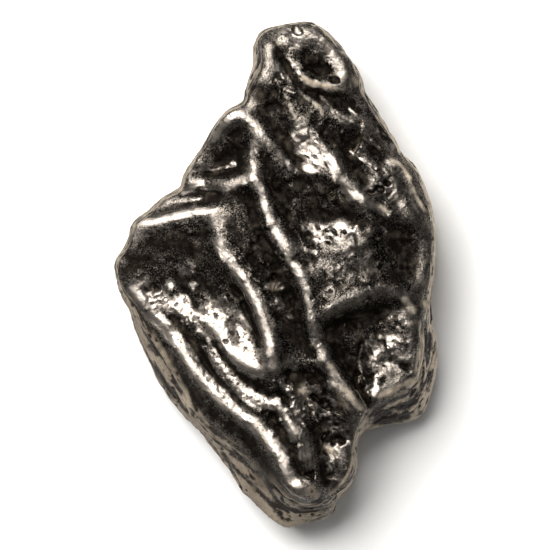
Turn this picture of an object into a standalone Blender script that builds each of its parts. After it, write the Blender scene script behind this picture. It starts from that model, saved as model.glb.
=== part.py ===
"""An iron meteorite fragment, 50 mm long and 32 mm wide: one solid piece of nickel-iron.

The form is made the way a maker would rough it out by hand. The outline is cut as a slab, wires are
laid over it at measured heights along the crests, rims and valleys, and a skin is drawn tight over
them. The skin is rolled over at the outline and its crests are worn round. The underside is rounded
up to the widest line, hollowed by thumbprints and worn flat where the stone rests. Places are in
millimetres, X to the right and Y up the long side of the stone, with the heights above the surface
that it rests on.
"""

import bpy
import numpy as np
from mathutils import Vector
from mathutils.kdtree import KDTree

MM = 0.001
NAME = "meteorite"

# Driving dimensions, in millimetres.
CREST_WEAR = 1.4  # no crest is sharper than a ball of this radius
CREST_REACH = 0.62  # the share of that ball that a crest can touch
ROLL_POWER = 4.0  # how square the skin rolls over at the outline
CURL_WIDTH = 6.5  # how far in from the outline the underside curls up
CURL_POWER = 2.4
SLAB_THICKNESS = 1.6
GRID_STEP = 0.2  # spacing of the skin's own points
SLAB_VOXEL = 0.26
BODY_VOXEL = 0.28
WORN_FLAT = 0.2  # everything under this height is worn to the resting plane
FLATNESS = 0.01
TRIANGLES = 9400

# The outline seen from above, clockwise from the tip. Each point has the height of the widest line,
# the height that the skin meets the wall at, and the width of the roll between the two.
OUTLINE = [
    (2.5, 25.2, 5.6, 10.9, 0.5), (4.1, 24.9, 5.6, 11.0, 0.7), (5.7, 23.7, 5.5, 11.1, 1.0),
    (7.2, 21.8, 5.4, 11.1, 1.1), (8.4, 20.0, 5.2, 10.9, 1.0), (8.9, 18.1, 5.0, 10.5, 0.7),
    (10.3, 15.9, 4.8, 10.4, 0.6), (11.6, 13.9, 4.7, 10.4, 0.6), (12.6, 12.2, 4.6, 10.4, 0.6),
    (14.0, 10.7, 4.5, 10.4, 0.6), (15.0, 8.6, 4.4, 10.3, 0.6), (15.6, 6.5, 4.3, 10.2, 0.6),
    (16.0, 3.7, 4.1, 10.0, 0.7), (15.8, 0.5, 4.0, 10.0, 0.7), (15.5, -2.4, 3.8, 9.6, 0.7),
    (15.6, -4.9, 3.6, 7.2, 0.5), (16.2, -7.3, 3.3, 5.4, 0.5), (16.1, -9.5, 3.1, 4.8, 0.5),
    (15.5, -12.2, 2.9, 4.3, 0.5), (14.9, -13.9, 2.7, 4.0, 0.5), (13.6, -14.7, 2.5, 3.8, 0.5),
    (11.5, -15.1, 2.4, 3.8, 0.5), (9.7, -15.5, 2.5, 4.6, 0.5), (8.8, -15.7, 2.7, 7.5, 0.5),
    (8.3, -16.5, 2.9, 9.0, 0.6), (8.1, -17.9, 3.2, 9.3, 0.6), (8.1, -19.3, 3.5, 9.2, 0.6),
    (7.6, -20.8, 3.8, 9.0, 0.6), (6.5, -22.0, 4.1, 8.6, 0.6), (5.9, -22.7, 4.2, 7.0, 0.5),
    (5.8, -23.6, 4.4, 5.8, 0.5), (4.6, -24.6, 4.5, 5.5, 0.5), (2.9, -25.0, 4.5, 5.5, 0.5),
    (1.1, -25.3, 4.3, 5.3, 0.5), (-0.3, -24.7, 4.1, 5.1, 0.5), (-1.9, -23.3, 3.8, 4.8, 0.5),
    (-3.4, -21.9, 3.6, 4.6, 0.5), (-4.4, -20.3, 3.4, 4.4, 0.5), (-5.7, -18.4, 3.2, 4.2, 0.5),
    (-7.2, -16.3, 3.0, 4.2, 0.5), (-8.9, -14.5, 2.9, 4.2, 0.5), (-10.6, -12.5, 2.8, 4.2, 0.5),
    (-11.8, -10.6, 2.7, 4.2, 0.5), (-13.1, -8.0, 2.7, 4.3, 0.5), (-14.1, -5.7, 2.7, 4.6, 0.5),
    (-14.7, -3.6, 2.7, 5.2, 0.5), (-15.6, -1.8, 2.8, 6.4, 0.5), (-16.1, 0.3, 3.0, 7.6, 0.5),
    (-16.0, 1.6, 3.1, 8.0, 0.5), (-15.3, 2.6, 3.3, 8.2, 0.5), (-14.8, 3.7, 3.4, 8.5, 0.5),
    (-14.3, 5.2, 3.6, 8.8, 0.5), (-12.8, 6.4, 3.7, 8.9, 0.5), (-11.3, 7.7, 3.9, 9.0, 0.5),
    (-9.7, 8.6, 4.0, 9.1, 0.5), (-9.3, 9.7, 4.1, 9.3, 0.5), (-8.3, 11.5, 4.3, 9.6, 0.5),
    (-7.1, 13.2, 4.5, 10.0, 0.5), (-6.1, 15.0, 4.7, 10.4, 0.5), (-4.9, 16.4, 4.8, 10.8, 0.5),
    (-3.3, 17.2, 4.9, 10.4, 0.5), (-3.0, 18.6, 5.1, 9.0, 0.5), (-2.4, 20.7, 5.3, 8.4, 0.5),
    (-2.2, 23.0, 5.4, 8.4, 0.5), (-1.3, 24.4, 5.5, 9.2, 0.5), (0.6, 25.0, 5.6, 10.5, 0.5),
]

# The left plate: a tilted slab of metal with a worn rim down its left side and a ridge down its right.
LEFT_PLATE = {
    "left_rim": [
        (-14.4, -1.8, 9.5), (-13.4, -2.8, 9.65), (-12.5, -3.8, 9.8), (-11.5, -4.8, 10.0),
        (-10.7, -5.8, 10.1), (-9.9, -6.8, 10.2), (-9.2, -7.8, 10.3), (-8.5, -8.8, 10.4),
        (-7.9, -9.7, 10.5), (-7.0, -10.7, 10.7), (-6.3, -11.4, 10.8), (-5.3, -12.4, 10.9),
        (-4.3, -13.3, 11.0), (-3.3, -14.1, 11.1), (-2.3, -14.9, 11.2), (-1.5, -15.6, 11.3),
        (-0.7, -16.6, 11.45), (0.0, -17.4, 11.6), (0.6, -18.4, 11.7), (1.1, -19.6, 11.75),
        (1.6, -20.6, 11.7), (2.1, -21.4, 11.4), (2.5, -22.1, 10.6),
    ],
    "wall_top": [
        (-15.5, 0.6, 9.4), (-15.3, -0.8, 9.2), (-14.9, -1.9, 9.1), (-14.2, -2.9, 8.9), (-13.3, -3.9, 9.0),
        (-12.4, -5.1, 9.1), (-11.5, -6.4, 9.2), (-10.7, -7.6, 9.2), (-10.4, -8.6, 9.1),
        (-9.8, -10.1, 9.0), (-9.0, -11.3, 9.1), (-8.3, -12.6, 9.2), (-7.5, -13.8, 9.3),
        (-6.8, -14.9, 9.3), (-5.7, -15.7, 9.4), (-4.5, -16.4, 9.6), (-3.5, -17.0, 9.9),
        (-2.5, -18.0, 9.9), (-1.3, -19.4, 9.8), (-0.3, -20.8, 9.6), (0.9, -22.2, 9.2), (2.2, -23.3, 8.6),
        (4.0, -23.6, 8.0), (5.4, -23.1, 7.7),
    ],
    "top_rim": [
        (-14.6, 4.4, 9.2), (-14.1, 5.2, 9.6), (-13.3, 5.4, 10.0), (-11.5, 5.6, 10.5), (-10.0, 6.0, 10.9),
        (-8.5, 6.3, 11.3), (-7.0, 6.6, 11.7), (-6.2, 6.6, 11.9),
    ],
    "right_ridge": [
        (-6.2, 6.6, 11.9), (-6.0, 5.0, 12.0), (-5.9, 3.4, 12.1), (-5.3, 2.4, 12.2), (-4.7, 1.4, 12.3),
        (-4.2, 0.6, 12.4), (-3.5, -0.3, 12.5), (-3.0, -1.3, 12.6), (-2.5, -2.2, 12.6), (-2.0, -3.3, 12.6),
        (-1.5, -4.6, 12.6), (-1.0, -5.9, 12.6), (-0.5, -7.1, 12.5), (-0.2, -8.1, 12.4), (0.0, -9.6, 12.2),
        (0.0, -10.8, 11.9), (0.5, -11.6, 11.8),
    ],
    "ridge_foot": [
        (-5.4, 0.0, 11.3), (-4.6, -0.9, 11.5), (-3.8, -1.9, 11.6), (-3.2, -2.9, 11.7), (-2.6, -4.1, 11.8),
        (-2.1, -5.4, 11.85), (-1.6, -6.6, 11.9), (-1.0, -7.8, 11.9), (-0.7, -9.0, 11.8),
    ],
    "under_rim": [
        (-14.2, 3.4, 9.3), (-12.5, 3.9, 9.9), (-10.5, 4.2, 10.3), (-8.5, 4.6, 10.8), (-7.2, 4.6, 11.1),
        (-7.0, 3.0, 11.0),
    ],
    "hollow": [
        (-14.9, 0.2, 9.7), (-13.5, -0.2, 9.55), (-11.5, -0.3, 9.5), (-9.5, -0.2, 9.6), (-8.0, -0.8, 9.85),
        (-6.4, -1.6, 10.4),
    ],
    "upper": [
        (-14.6, 2.2, 9.7), (-12.5, 1.8, 9.75), (-10.5, 2.0, 9.9), (-8.5, 1.8, 10.2), (-6.9, 1.2, 10.8),
    ],
    "patch": [(-13.2, -1.6, 9.55), (-12.2, -2.2, 9.65), (-11.0, -2.4, 9.7)],
    "plate": [
        (-6.2, -3.4, 10.9), (-4.8, -4.4, 11.2), (-3.3, -6.0, 11.6), (-2.4, -7.6, 11.8),
        (-1.2, -9.0, 11.9),
    ],
    "plate_left": [(-8.6, -3.0, 10.2), (-6.8, -5.2, 10.7), (-5.4, -7.4, 11.1), (-4.4, -8.6, 11.4)],
    "plate_low": [(-4.4, -8.6, 11.4), (-3.0, -9.4, 11.7), (-1.6, -9.7, 11.8), (-0.5, -9.8, 11.9)],
    "rim_groove": [
        (-12.4, -2.8, 9.5), (-11.5, -3.4, 9.6), (-10.5, -4.2, 9.7), (-9.5, -5.3, 9.7), (-8.8, -6.2, 9.75),
        (-8.0, -7.2, 9.8), (-7.3, -8.4, 9.9), (-6.7, -9.4, 10.0), (-5.9, -10.5, 10.2),
        (-4.9, -11.6, 10.4), (-3.9, -12.7, 10.6), (-2.9, -13.5, 10.8), (-2.0, -14.2, 11.0),
    ],
    "band": [
        (-10.0, -3.8, 10.1), (-9.2, -4.6, 10.2), (-8.3, -5.4, 10.3), (-7.5, -6.2, 10.4),
        (-6.7, -7.0, 10.6), (-6.1, -7.9, 10.7), (-5.3, -9.4, 10.9), (-4.5, -10.2, 11.0),
        (-3.9, -11.0, 11.1), (-3.0, -11.8, 11.2), (-2.0, -12.6, 11.4), (-1.0, -12.8, 11.5),
        (-0.3, -12.8, 11.6),
    ],
    "under_plate": [
        (-8.0, -4.8, 10.1), (-7.0, -5.8, 10.2), (-6.2, -6.7, 10.3), (-5.3, -8.3, 10.5),
        (-4.3, -9.6, 10.7), (-3.5, -10.4, 10.8), (-2.7, -11.0, 10.9), (-1.3, -11.6, 11.1),
        (-0.3, -12.4, 11.3),
    ],
    "toe_crest": [
        (0.0, -12.8, 11.65), (0.5, -13.4, 11.75), (1.0, -14.4, 11.85), (1.5, -15.6, 11.9),
        (1.7, -16.4, 11.8),
    ],
    "toe_hollow": [
        (-0.6, -14.2, 11.0), (0.2, -15.2, 10.9), (0.9, -16.4, 11.0), (1.5, -17.4, 11.1),
        (2.0, -18.8, 11.1), (2.5, -20.2, 10.9),
    ],
    "toe_ridge": [
        (0.0, -10.1, 11.9), (0.5, -11.6, 11.9), (1.0, -12.1, 11.8), (1.7, -13.6, 11.8),
        (2.5, -15.1, 11.8), (3.0, -16.3, 11.8), (3.3, -17.6, 11.8), (3.4, -18.8, 11.7),
        (3.6, -19.6, 11.6), (4.1, -20.8, 10.9),
    ],
    "nose": [(3.0, -22.2, 9.7), (4.0, -22.2, 9.4), (5.0, -22.2, 9.0)],
}

# The shoulder: a smaller plate above the left one, parted from it by a split.
SHOULDER = {
    "rim_groove": [
        (-12.5, 6.0, 9.2), (-10.5, 6.7, 9.7), (-8.5, 7.1, 10.2), (-7.0, 7.1, 10.6), (-5.6, 7.3, 11.1),
        (-4.6, 7.5, 11.3),
    ],
    "low_lip": [(-12.0, 6.9, 9.5), (-10.7, 7.3, 10.0), (-8.7, 7.5, 10.5), (-7.5, 7.5, 10.8)],
    "split": [(-10.0, 7.8, 9.8), (-8.5, 8.0, 10.1), (-6.8, 8.0, 10.5), (-5.2, 7.9, 11.1)],
    "lip_edge": [
        (-9.2, 8.4, 10.1), (-7.5, 8.8, 10.6), (-5.8, 8.6, 11.3), (-4.7, 8.7, 11.7), (-3.5, 9.1, 12.0),
        (-2.5, 9.7, 12.4),
    ],
    "lip": [
        (-9.3, 9.0, 10.1), (-8.0, 9.1, 10.5), (-6.5, 9.4, 10.9), (-5.0, 9.5, 11.4), (-3.5, 9.8, 11.9),
    ],
    "under_lip": [(-5.3, 7.6, 11.2), (-3.9, 8.2, 11.5), (-2.9, 8.8, 11.8)],
    "rim": [
        (-9.0, 9.8, 9.9), (-8.5, 10.8, 10.2), (-7.6, 12.2, 10.6), (-6.5, 13.6, 11.0), (-5.5, 14.8, 11.4),
        (-4.6, 15.8, 11.7), (-3.9, 16.4, 11.8),
    ],
    "right_ridge": [
        (-3.9, 16.4, 11.8), (-3.5, 15.9, 12.0), (-2.5, 15.3, 12.1), (-1.9, 14.7, 12.2),
        (-1.0, 13.5, 12.3), (-0.3, 12.7, 12.4), (0.5, 11.9, 12.3), (1.2, 11.0, 12.1), (1.8, 10.4, 12.0),
        (2.3, 10.1, 11.8),
    ],
    "rib": [
        (-1.9, 14.7, 12.2), (-2.0, 13.9, 12.1), (-2.3, 12.9, 12.0), (-2.5, 11.9, 12.0),
        (-2.4, 11.1, 12.1), (-2.2, 10.2, 12.3), (-2.3, 9.6, 12.4),
    ],
    "facet": [(-7.2, 11.6, 10.0), (-5.6, 13.0, 10.5), (-4.4, 14.2, 11.0), (-3.4, 14.6, 11.4)],
    "facet_low": [(-6.2, 10.9, 9.9), (-4.5, 11.8, 10.3), (-3.3, 12.6, 10.8)],
    "foot": [(-8.3, 10.2, 9.8), (-6.5, 10.0, 9.9), (-4.5, 10.3, 10.4), (-3.2, 10.9, 11.0)],
    "foot_lip": [(-7.8, 10.6, 10.1), (-6.5, 10.5, 10.2), (-5.2, 10.7, 10.4), (-4.2, 11.0, 10.7)],
}

# The spine: the highest crest, running from the shoulder down to the notch, and the trench on its left.
SPINE = {
    "crest": [
        (-2.3, 9.6, 12.4), (-1.8, 9.1, 12.5), (-1.4, 8.4, 12.5), (-1.3, 7.5, 12.5), (-1.0, 6.3, 12.6),
        (-0.6, 5.4, 12.6), (-0.3, 4.6, 12.7), (0.1, 3.8, 12.7), (0.5, 3.0, 12.8), (0.9, 2.2, 12.9),
        (1.5, 1.2, 13.0), (2.2, 0.2, 13.0), (2.7, -0.8, 13.1), (3.1, -1.8, 13.1), (3.3, -2.9, 13.1),
        (3.5, -4.1, 13.1), (3.8, -5.3, 13.1), (4.1, -6.6, 13.1), (4.5, -7.4, 13.1), (5.3, -9.0, 13.1),
        (6.5, -10.8, 13.0), (7.1, -11.7, 12.9), (7.8, -12.6, 12.7), (8.5, -13.4, 12.2),
    ],
    "trench": [
        (-4.9, 6.8, 11.7), (-4.5, 5.2, 11.8), (-3.6, 3.4, 11.85), (-2.6, 1.8, 11.9), (-1.5, 0.2, 11.95),
        (-0.4, -1.2, 11.95), (0.4, -3.0, 12.0), (1.0, -4.8, 11.9), (1.7, -6.4, 11.9), (2.6, -7.8, 11.9),
    ],
    "crest_foot": [
        (-2.8, 8.2, 11.6), (-2.3, 6.8, 11.5), (-1.8, 5.0, 11.6), (-1.2, 3.4, 11.6), (-0.5, 2.0, 11.7),
        (0.4, 0.4, 11.75), (1.2, -0.9, 11.8), (1.7, -2.4, 11.8), (2.0, -3.9, 11.8), (2.4, -5.4, 11.8),
        (3.0, -7.0, 11.8), (3.8, -8.2, 11.9),
    ],
    "trench_end": [(0.7, -8.3, 11.9), (1.7, -8.9, 12.0), (3.0, -8.7, 12.1), (4.2, -8.9, 12.3)],
    "pocket": [(1.2, -9.9, 11.5), (2.4, -10.3, 11.2), (3.6, -10.2, 11.1), (4.7, -10.4, 11.3)],
    "foot": [(4.6, -10.6, 11.6), (5.6, -12.2, 11.4), (6.9, -13.9, 11.2)],
    "spur": [(0.9, 3.2, 12.8), (1.6, 3.0, 12.7), (2.4, 2.7, 12.6), (3.0, 2.4, 12.5), (3.9, 2.2, 12.4)],
    "spur_foot": [(2.3, 1.9, 12.4), (3.3, 1.4, 12.3)],
    "shelf": [
        (3.6, 0.0, 12.6), (4.0, -1.5, 12.6), (4.2, -3.2, 12.6), (4.3, -4.8, 12.5), (4.5, -6.2, 12.4),
    ],
    "right_channel": [
        (4.9, -6.2, 11.7), (5.7, -7.4, 11.4), (6.6, -8.9, 11.2), (7.6, -10.4, 11.0), (8.5, -11.8, 10.8),
        (9.1, -13.1, 10.6),
    ],
}

# The lower lobe, a rough floor between the toe and the end of the spine.
LOWER_LOBE = {
    "floor": [(3.6, -11.6, 10.9), (4.4, -13.2, 10.8), (5.2, -15.0, 10.5), (5.6, -17.0, 10.3)],
    "channel": [(3.8, -15.6, 10.6), (4.2, -17.2, 10.4), (4.6, -19.2, 10.1), (5.1, -21.0, 9.6)],
    "rim": [
        (8.5, -13.4, 12.2), (8.4, -14.6, 11.2), (8.0, -15.8, 10.6), (7.7, -17.2, 10.4),
        (7.5, -19.0, 10.2), (6.9, -20.4, 9.9), (6.0, -21.4, 9.5), (5.3, -22.0, 9.2),
    ],
}

# The right block, a squarish knob with a hollow above it and a bare wall under its lower edge.
RIGHT_BLOCK = {
    "hollow_rim": [
        (4.6, -4.4, 12.8), (5.2, -3.8, 12.8), (6.2, -3.3, 12.8), (7.0, -2.9, 12.7), (8.0, -2.6, 12.65),
        (9.0, -2.0, 12.5), (10.0, -1.7, 12.3), (11.3, -1.5, 12.0), (12.2, -1.8, 11.8),
    ],
    "hollow_floor": [
        (5.4, -5.4, 11.3), (6.6, -4.8, 11.0), (8.0, -4.6, 10.8), (9.6, -4.2, 10.6), (11.0, -3.6, 10.7),
    ],
    "top_rim": [(12.2, -1.8, 11.6), (13.6, -2.4, 11.5), (14.6, -3.2, 11.2)],
    "right_rim": [
        (14.6, -3.2, 11.2), (14.2, -5.0, 11.1), (14.3, -7.1, 11.0), (14.2, -8.6, 10.9),
        (14.0, -9.8, 10.8), (13.9, -10.5, 10.6),
    ],
    "lower_rim": [
        (13.9, -10.5, 10.6), (12.5, -11.1, 10.9), (11.5, -11.6, 11.1), (10.4, -12.2, 11.2),
        (9.6, -12.8, 11.1),
    ],
    "lower_edge": [
        (13.3, -11.9, 9.8), (12.4, -12.2, 9.9), (11.4, -12.6, 10.0), (10.4, -13.2, 10.2),
        (9.4, -13.9, 10.3), (8.9, -14.9, 10.0),
    ],
    "left_side": [(8.4, -6.8, 10.4), (8.8, -8.7, 10.4), (9.2, -10.4, 10.6)],
    "patch": [(10.4, -6.2, 10.6), (11.4, -7.2, 10.7), (12.4, -7.0, 10.9)],
    "face": [(10.6, -8.6, 10.6), (11.0, -9.8, 10.7), (12.2, -9.8, 10.7)],
    "shelf": [(12.6, -3.8, 11.1), (13.0, -5.6, 10.9)],
}

# The right side: a high saddle, a deep thumbprint beside it and a rough table over the outer wall.
RIGHT_SIDE = {
    "saddle": [(5.2, 1.0, 12.5), (6.4, 0.2, 12.55), (7.8, -0.6, 12.55), (9.2, -1.0, 12.4)],
    "print_left": [
        (10.3, 5.8, 12.1), (9.6, 4.7, 12.3), (9.2, 3.4, 12.3), (9.3, 1.6, 12.2), (9.5, 0.4, 12.1),
        (10.3, -0.2, 12.0), (11.5, -0.9, 11.8), (12.3, -1.5, 11.7),
    ],
    "print_floor": [(11.8, 4.2, 11.1), (12.5, 2.8, 10.5), (13.2, 1.2, 10.4), (13.2, 0.0, 10.6)],
    "print_top": [
        (10.3, 5.8, 12.1), (12.5, 5.7, 11.9), (13.7, 5.6, 11.6), (14.5, 5.2, 11.2), (15.2, 4.4, 10.8),
    ],
    "print_right": [(15.3, 3.0, 10.6), (15.2, 1.4, 10.6), (15.0, 0.0, 10.7), (14.9, -1.4, 10.8)],
    "table": [(9.9, 9.6, 11.9), (11.2, 9.8, 11.8), (12.0, 8.6, 11.7), (11.4, 7.2, 11.8)],
    "outer_ridge": [
        (11.5, 11.4, 11.4), (12.2, 11.1, 11.4), (12.8, 10.4, 11.5), (13.4, 9.2, 11.5), (14.0, 7.8, 11.4),
        (14.8, 6.4, 11.1),
    ],
    "outer_groove": [(13.8, 9.8, 10.9), (14.5, 8.0, 10.8), (15.0, 6.8, 10.7)],
}

# The upper middle: a long ridge with a rough slope, a round thumbprint and the channel on its left.
UPPER_MIDDLE = {
    "ridge": [
        (0.9, 17.9, 11.7), (1.3, 17.1, 11.8), (1.6, 16.2, 11.85), (2.1, 15.3, 11.95), (2.8, 14.6, 12.05),
        (3.7, 13.8, 12.3), (4.5, 13.2, 12.5), (5.3, 12.4, 12.7), (6.0, 11.6, 12.8), (6.7, 10.2, 12.9),
        (7.5, 8.6, 12.9), (8.1, 7.9, 12.8), (8.7, 7.2, 12.7), (9.3, 6.6, 12.5),
    ],
    "slope_edge": [
        (2.2, 10.0, 11.9), (3.2, 9.8, 12.3), (4.4, 9.9, 12.6), (5.4, 10.2, 12.8), (6.5, 10.2, 12.9),
    ],
    "channel": [
        (-2.2, 16.4, 11.6), (-0.9, 15.4, 11.6), (0.3, 14.0, 11.5), (1.2, 12.4, 11.4), (1.9, 11.2, 11.4),
        (2.6, 9.4, 11.4), (2.6, 7.6, 11.4),
    ],
    "side_facet": [
        (-1.2, 11.8, 11.6), (-0.4, 9.8, 11.6), (0.3, 7.6, 11.6), (1.2, 5.6, 11.7), (2.2, 4.2, 12.0),
    ],
    "print_top": [(3.4, 9.2, 11.9), (4.8, 9.2, 12.0), (6.2, 9.2, 12.1), (7.4, 7.6, 12.3)],
    "print_floor": [(3.4, 6.6, 11.0), (4.9, 5.8, 11.1), (6.4, 5.9, 11.3), (7.6, 5.9, 11.7)],
    "print_low": [(3.0, 4.8, 11.5), (4.6, 4.4, 11.7), (6.4, 4.2, 11.9), (8.0, 4.6, 12.1)],
    "print_rim": [
        (3.2, 3.5, 11.9), (4.2, 2.9, 12.2), (5.5, 2.6, 12.5), (7.3, 2.6, 12.6), (8.6, 3.2, 12.5),
    ],
}

# The top lobe: a dished knob at the upper end, with folds running down from it to the right.
TOP_LOBE = {
    "left_rim": [
        (-1.7, 23.7, 10.9), (-1.2, 22.0, 11.4), (-1.3, 20.7, 11.5), (-1.7, 19.9, 11.6),
        (-2.1, 18.8, 11.6), (-2.4, 17.8, 11.5),
    ],
    "left_fold": [(-0.7, 21.4, 11.4), (0.1, 20.8, 11.4), (0.6, 20.1, 11.4), (1.3, 19.3, 11.4)],
    "cleft": [
        (-0.2, 23.2, 11.0), (0.2, 22.2, 10.9), (0.7, 21.2, 10.9), (1.1, 20.2, 10.9), (1.4, 19.4, 11.0),
    ],
    "rim": [
        (0.6, 24.6, 11.5), (1.8, 24.8, 11.5), (3.0, 24.6, 11.6), (3.7, 24.1, 11.7), (4.5, 23.6, 11.8),
        (5.4, 22.8, 11.9), (6.1, 21.8, 12.0), (6.6, 20.8, 12.0), (6.9, 19.9, 12.0), (7.0, 19.0, 11.9),
    ],
    "dish_edge": [
        (1.1, 21.8, 11.3), (1.5, 21.2, 11.4), (2.1, 20.4, 11.5), (2.5, 19.8, 11.6), (3.0, 19.4, 11.7),
        (3.7, 19.1, 11.8), (4.5, 18.9, 11.9), (5.5, 18.7, 11.9), (6.7, 18.7, 11.9),
    ],
    "dish_floor": [(2.6, 23.0, 11.4), (3.0, 21.6, 11.0), (3.8, 20.6, 10.8), (4.8, 19.9, 11.0)],
    "dish_side": [(4.6, 22.0, 11.3), (5.5, 21.0, 11.4), (6.0, 20.0, 11.5)],
    "first_hollow": [(2.8, 18.2, 11.3), (4.5, 17.8, 11.1), (6.3, 17.2, 11.0), (7.9, 16.8, 10.9)],
    "neck": [(-1.6, 17.2, 11.4), (-0.4, 18.2, 11.4), (0.4, 17.6, 11.5)],
    "first_fold": [
        (2.2, 18.3, 11.5), (3.0, 17.7, 11.6), (3.7, 17.2, 11.7), (4.3, 16.6, 11.8), (4.6, 15.9, 11.8),
    ],
    "second_fold": [
        (4.5, 17.6, 11.4), (5.0, 17.1, 11.6), (5.5, 16.6, 11.7), (6.1, 16.1, 11.8), (7.0, 15.5, 11.8),
        (8.0, 15.3, 11.7), (8.5, 15.4, 11.6), (9.0, 14.8, 11.5), (9.9, 14.2, 11.2),
    ],
    "trough": [
        (3.7, 15.1, 11.7), (5.0, 14.2, 11.6), (6.4, 13.2, 11.5), (7.2, 11.8, 11.5), (8.2, 10.2, 11.5),
        (9.0, 9.0, 11.7),
    ],
    "third_fold": [(7.4, 12.4, 11.7), (8.2, 11.8, 11.9), (9.0, 11.2, 12.0), (9.9, 10.6, 12.0)],
    "third_hollow": [(8.6, 13.6, 11.1), (9.8, 12.4, 11.1), (10.8, 11.8, 11.1)],
    "outer_rim": [(8.6, 17.2, 10.9), (9.5, 15.8, 10.9), (10.7, 13.9, 10.9), (11.6, 12.6, 10.9)],
}

WIRE_GROUPS = [LEFT_PLATE, SHOULDER, SPINE, LOWER_LOBE, RIGHT_BLOCK, RIGHT_SIDE, UPPER_MIDDLE, TOP_LOBE]

# The underside, as heights over its even curl: what falls under the resting plane is worn flat.
UNDERSIDE = {
    "resting_patch": [
        (-6.5, 2.5, -0.5), (-4.5, 5.0, -0.6), (-1.0, 6.0, -0.5), (3.0, 4.8, -0.5), (5.5, 1.0, -0.6),
        (5.0, -3.5, -0.5), (2.0, -7.0, -0.6), (-2.0, -7.5, -0.5), (-5.5, -4.0, -0.5), (-6.5, 2.5, -0.5),
    ],
    "patch_middle": [(-3.5, 2.0, -0.5), (-1.0, 0.5, -0.6), (2.0, -2.0, -0.5)],
    "resting_toe": [(-3.5, -13.0, -0.2), (-1.0, -14.5, -0.3), (1.0, -15.5, -0.2)],
    "upper_rest": [(2.5, 13.5, 0.1), (4.0, 11.5, -0.1), (5.5, 9.5, 0.0)],
    "top_print": [(0.8, 15.5, 1.5), (2.8, 17.5, 1.9), (4.3, 19.5, 1.6)],
    "shoulder_print": [(-4.5, 8.8, 1.4), (-2.6, 10.8, 1.7), (-0.5, 12.0, 1.3)],
    "left_print": [(-11.0, 2.0, 1.2), (-10.0, -1.5, 1.7), (-8.2, -4.5, 1.2)],
    "left_fold": [(-12.0, -4.5, 0.3), (-9.5, -7.5, 0.1), (-6.5, -10.5, 0.0)],
    "long_print": [(-8.0, -9.0, 1.0), (-5.0, -10.5, 1.4), (-0.5, -10.8, 1.2), (3.0, -10.5, 0.9)],
    "right_print": [(8.5, 6.0, 1.4), (10.3, 2.5, 1.9), (10.0, -1.0, 1.3)],
    "right_fold": [(7.0, -3.5, 0.2), (9.5, -5.0, 0.1), (12.0, -6.0, 0.4)],
    "block_print": [(7.0, -8.5, 1.1), (9.8, -9.5, 1.5), (12.0, -10.0, 1.1)],
    "lobe_print": [(3.0, -16.5, 1.0), (4.0, -18.5, 1.4), (3.0, -20.5, 1.0)],
    "upper_fold": [(7.5, 13.0, 0.3), (9.5, 10.0, 0.2), (11.0, 7.5, 0.4)],
}


def smooth_line(points, closed=False, steps=8):
    """A smooth curve through the points, as a Catmull-Rom spline."""
    points = np.array(points, float)
    if closed:
        padded = np.vstack([points[-1:], points, points[:2]])
    else:
        padded = np.vstack([2 * points[0] - points[1], points, 2 * points[-1] - points[-2]])
    t = np.linspace(0, 1, steps, endpoint=False)[:, None]
    pieces = []
    for a, b, c, d in zip(padded[:-3], padded[1:-2], padded[2:-1], padded[3:]):
        pieces.append(
            0.5 * (2 * b + (c - a) * t + (2 * a - 5 * b + 4 * c - d) * t**2 + (3 * b - a - 3 * c + d) * t**3)
        )
    if not closed:
        pieces.append(points[-1:])
    return np.vstack(pieces)


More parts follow.
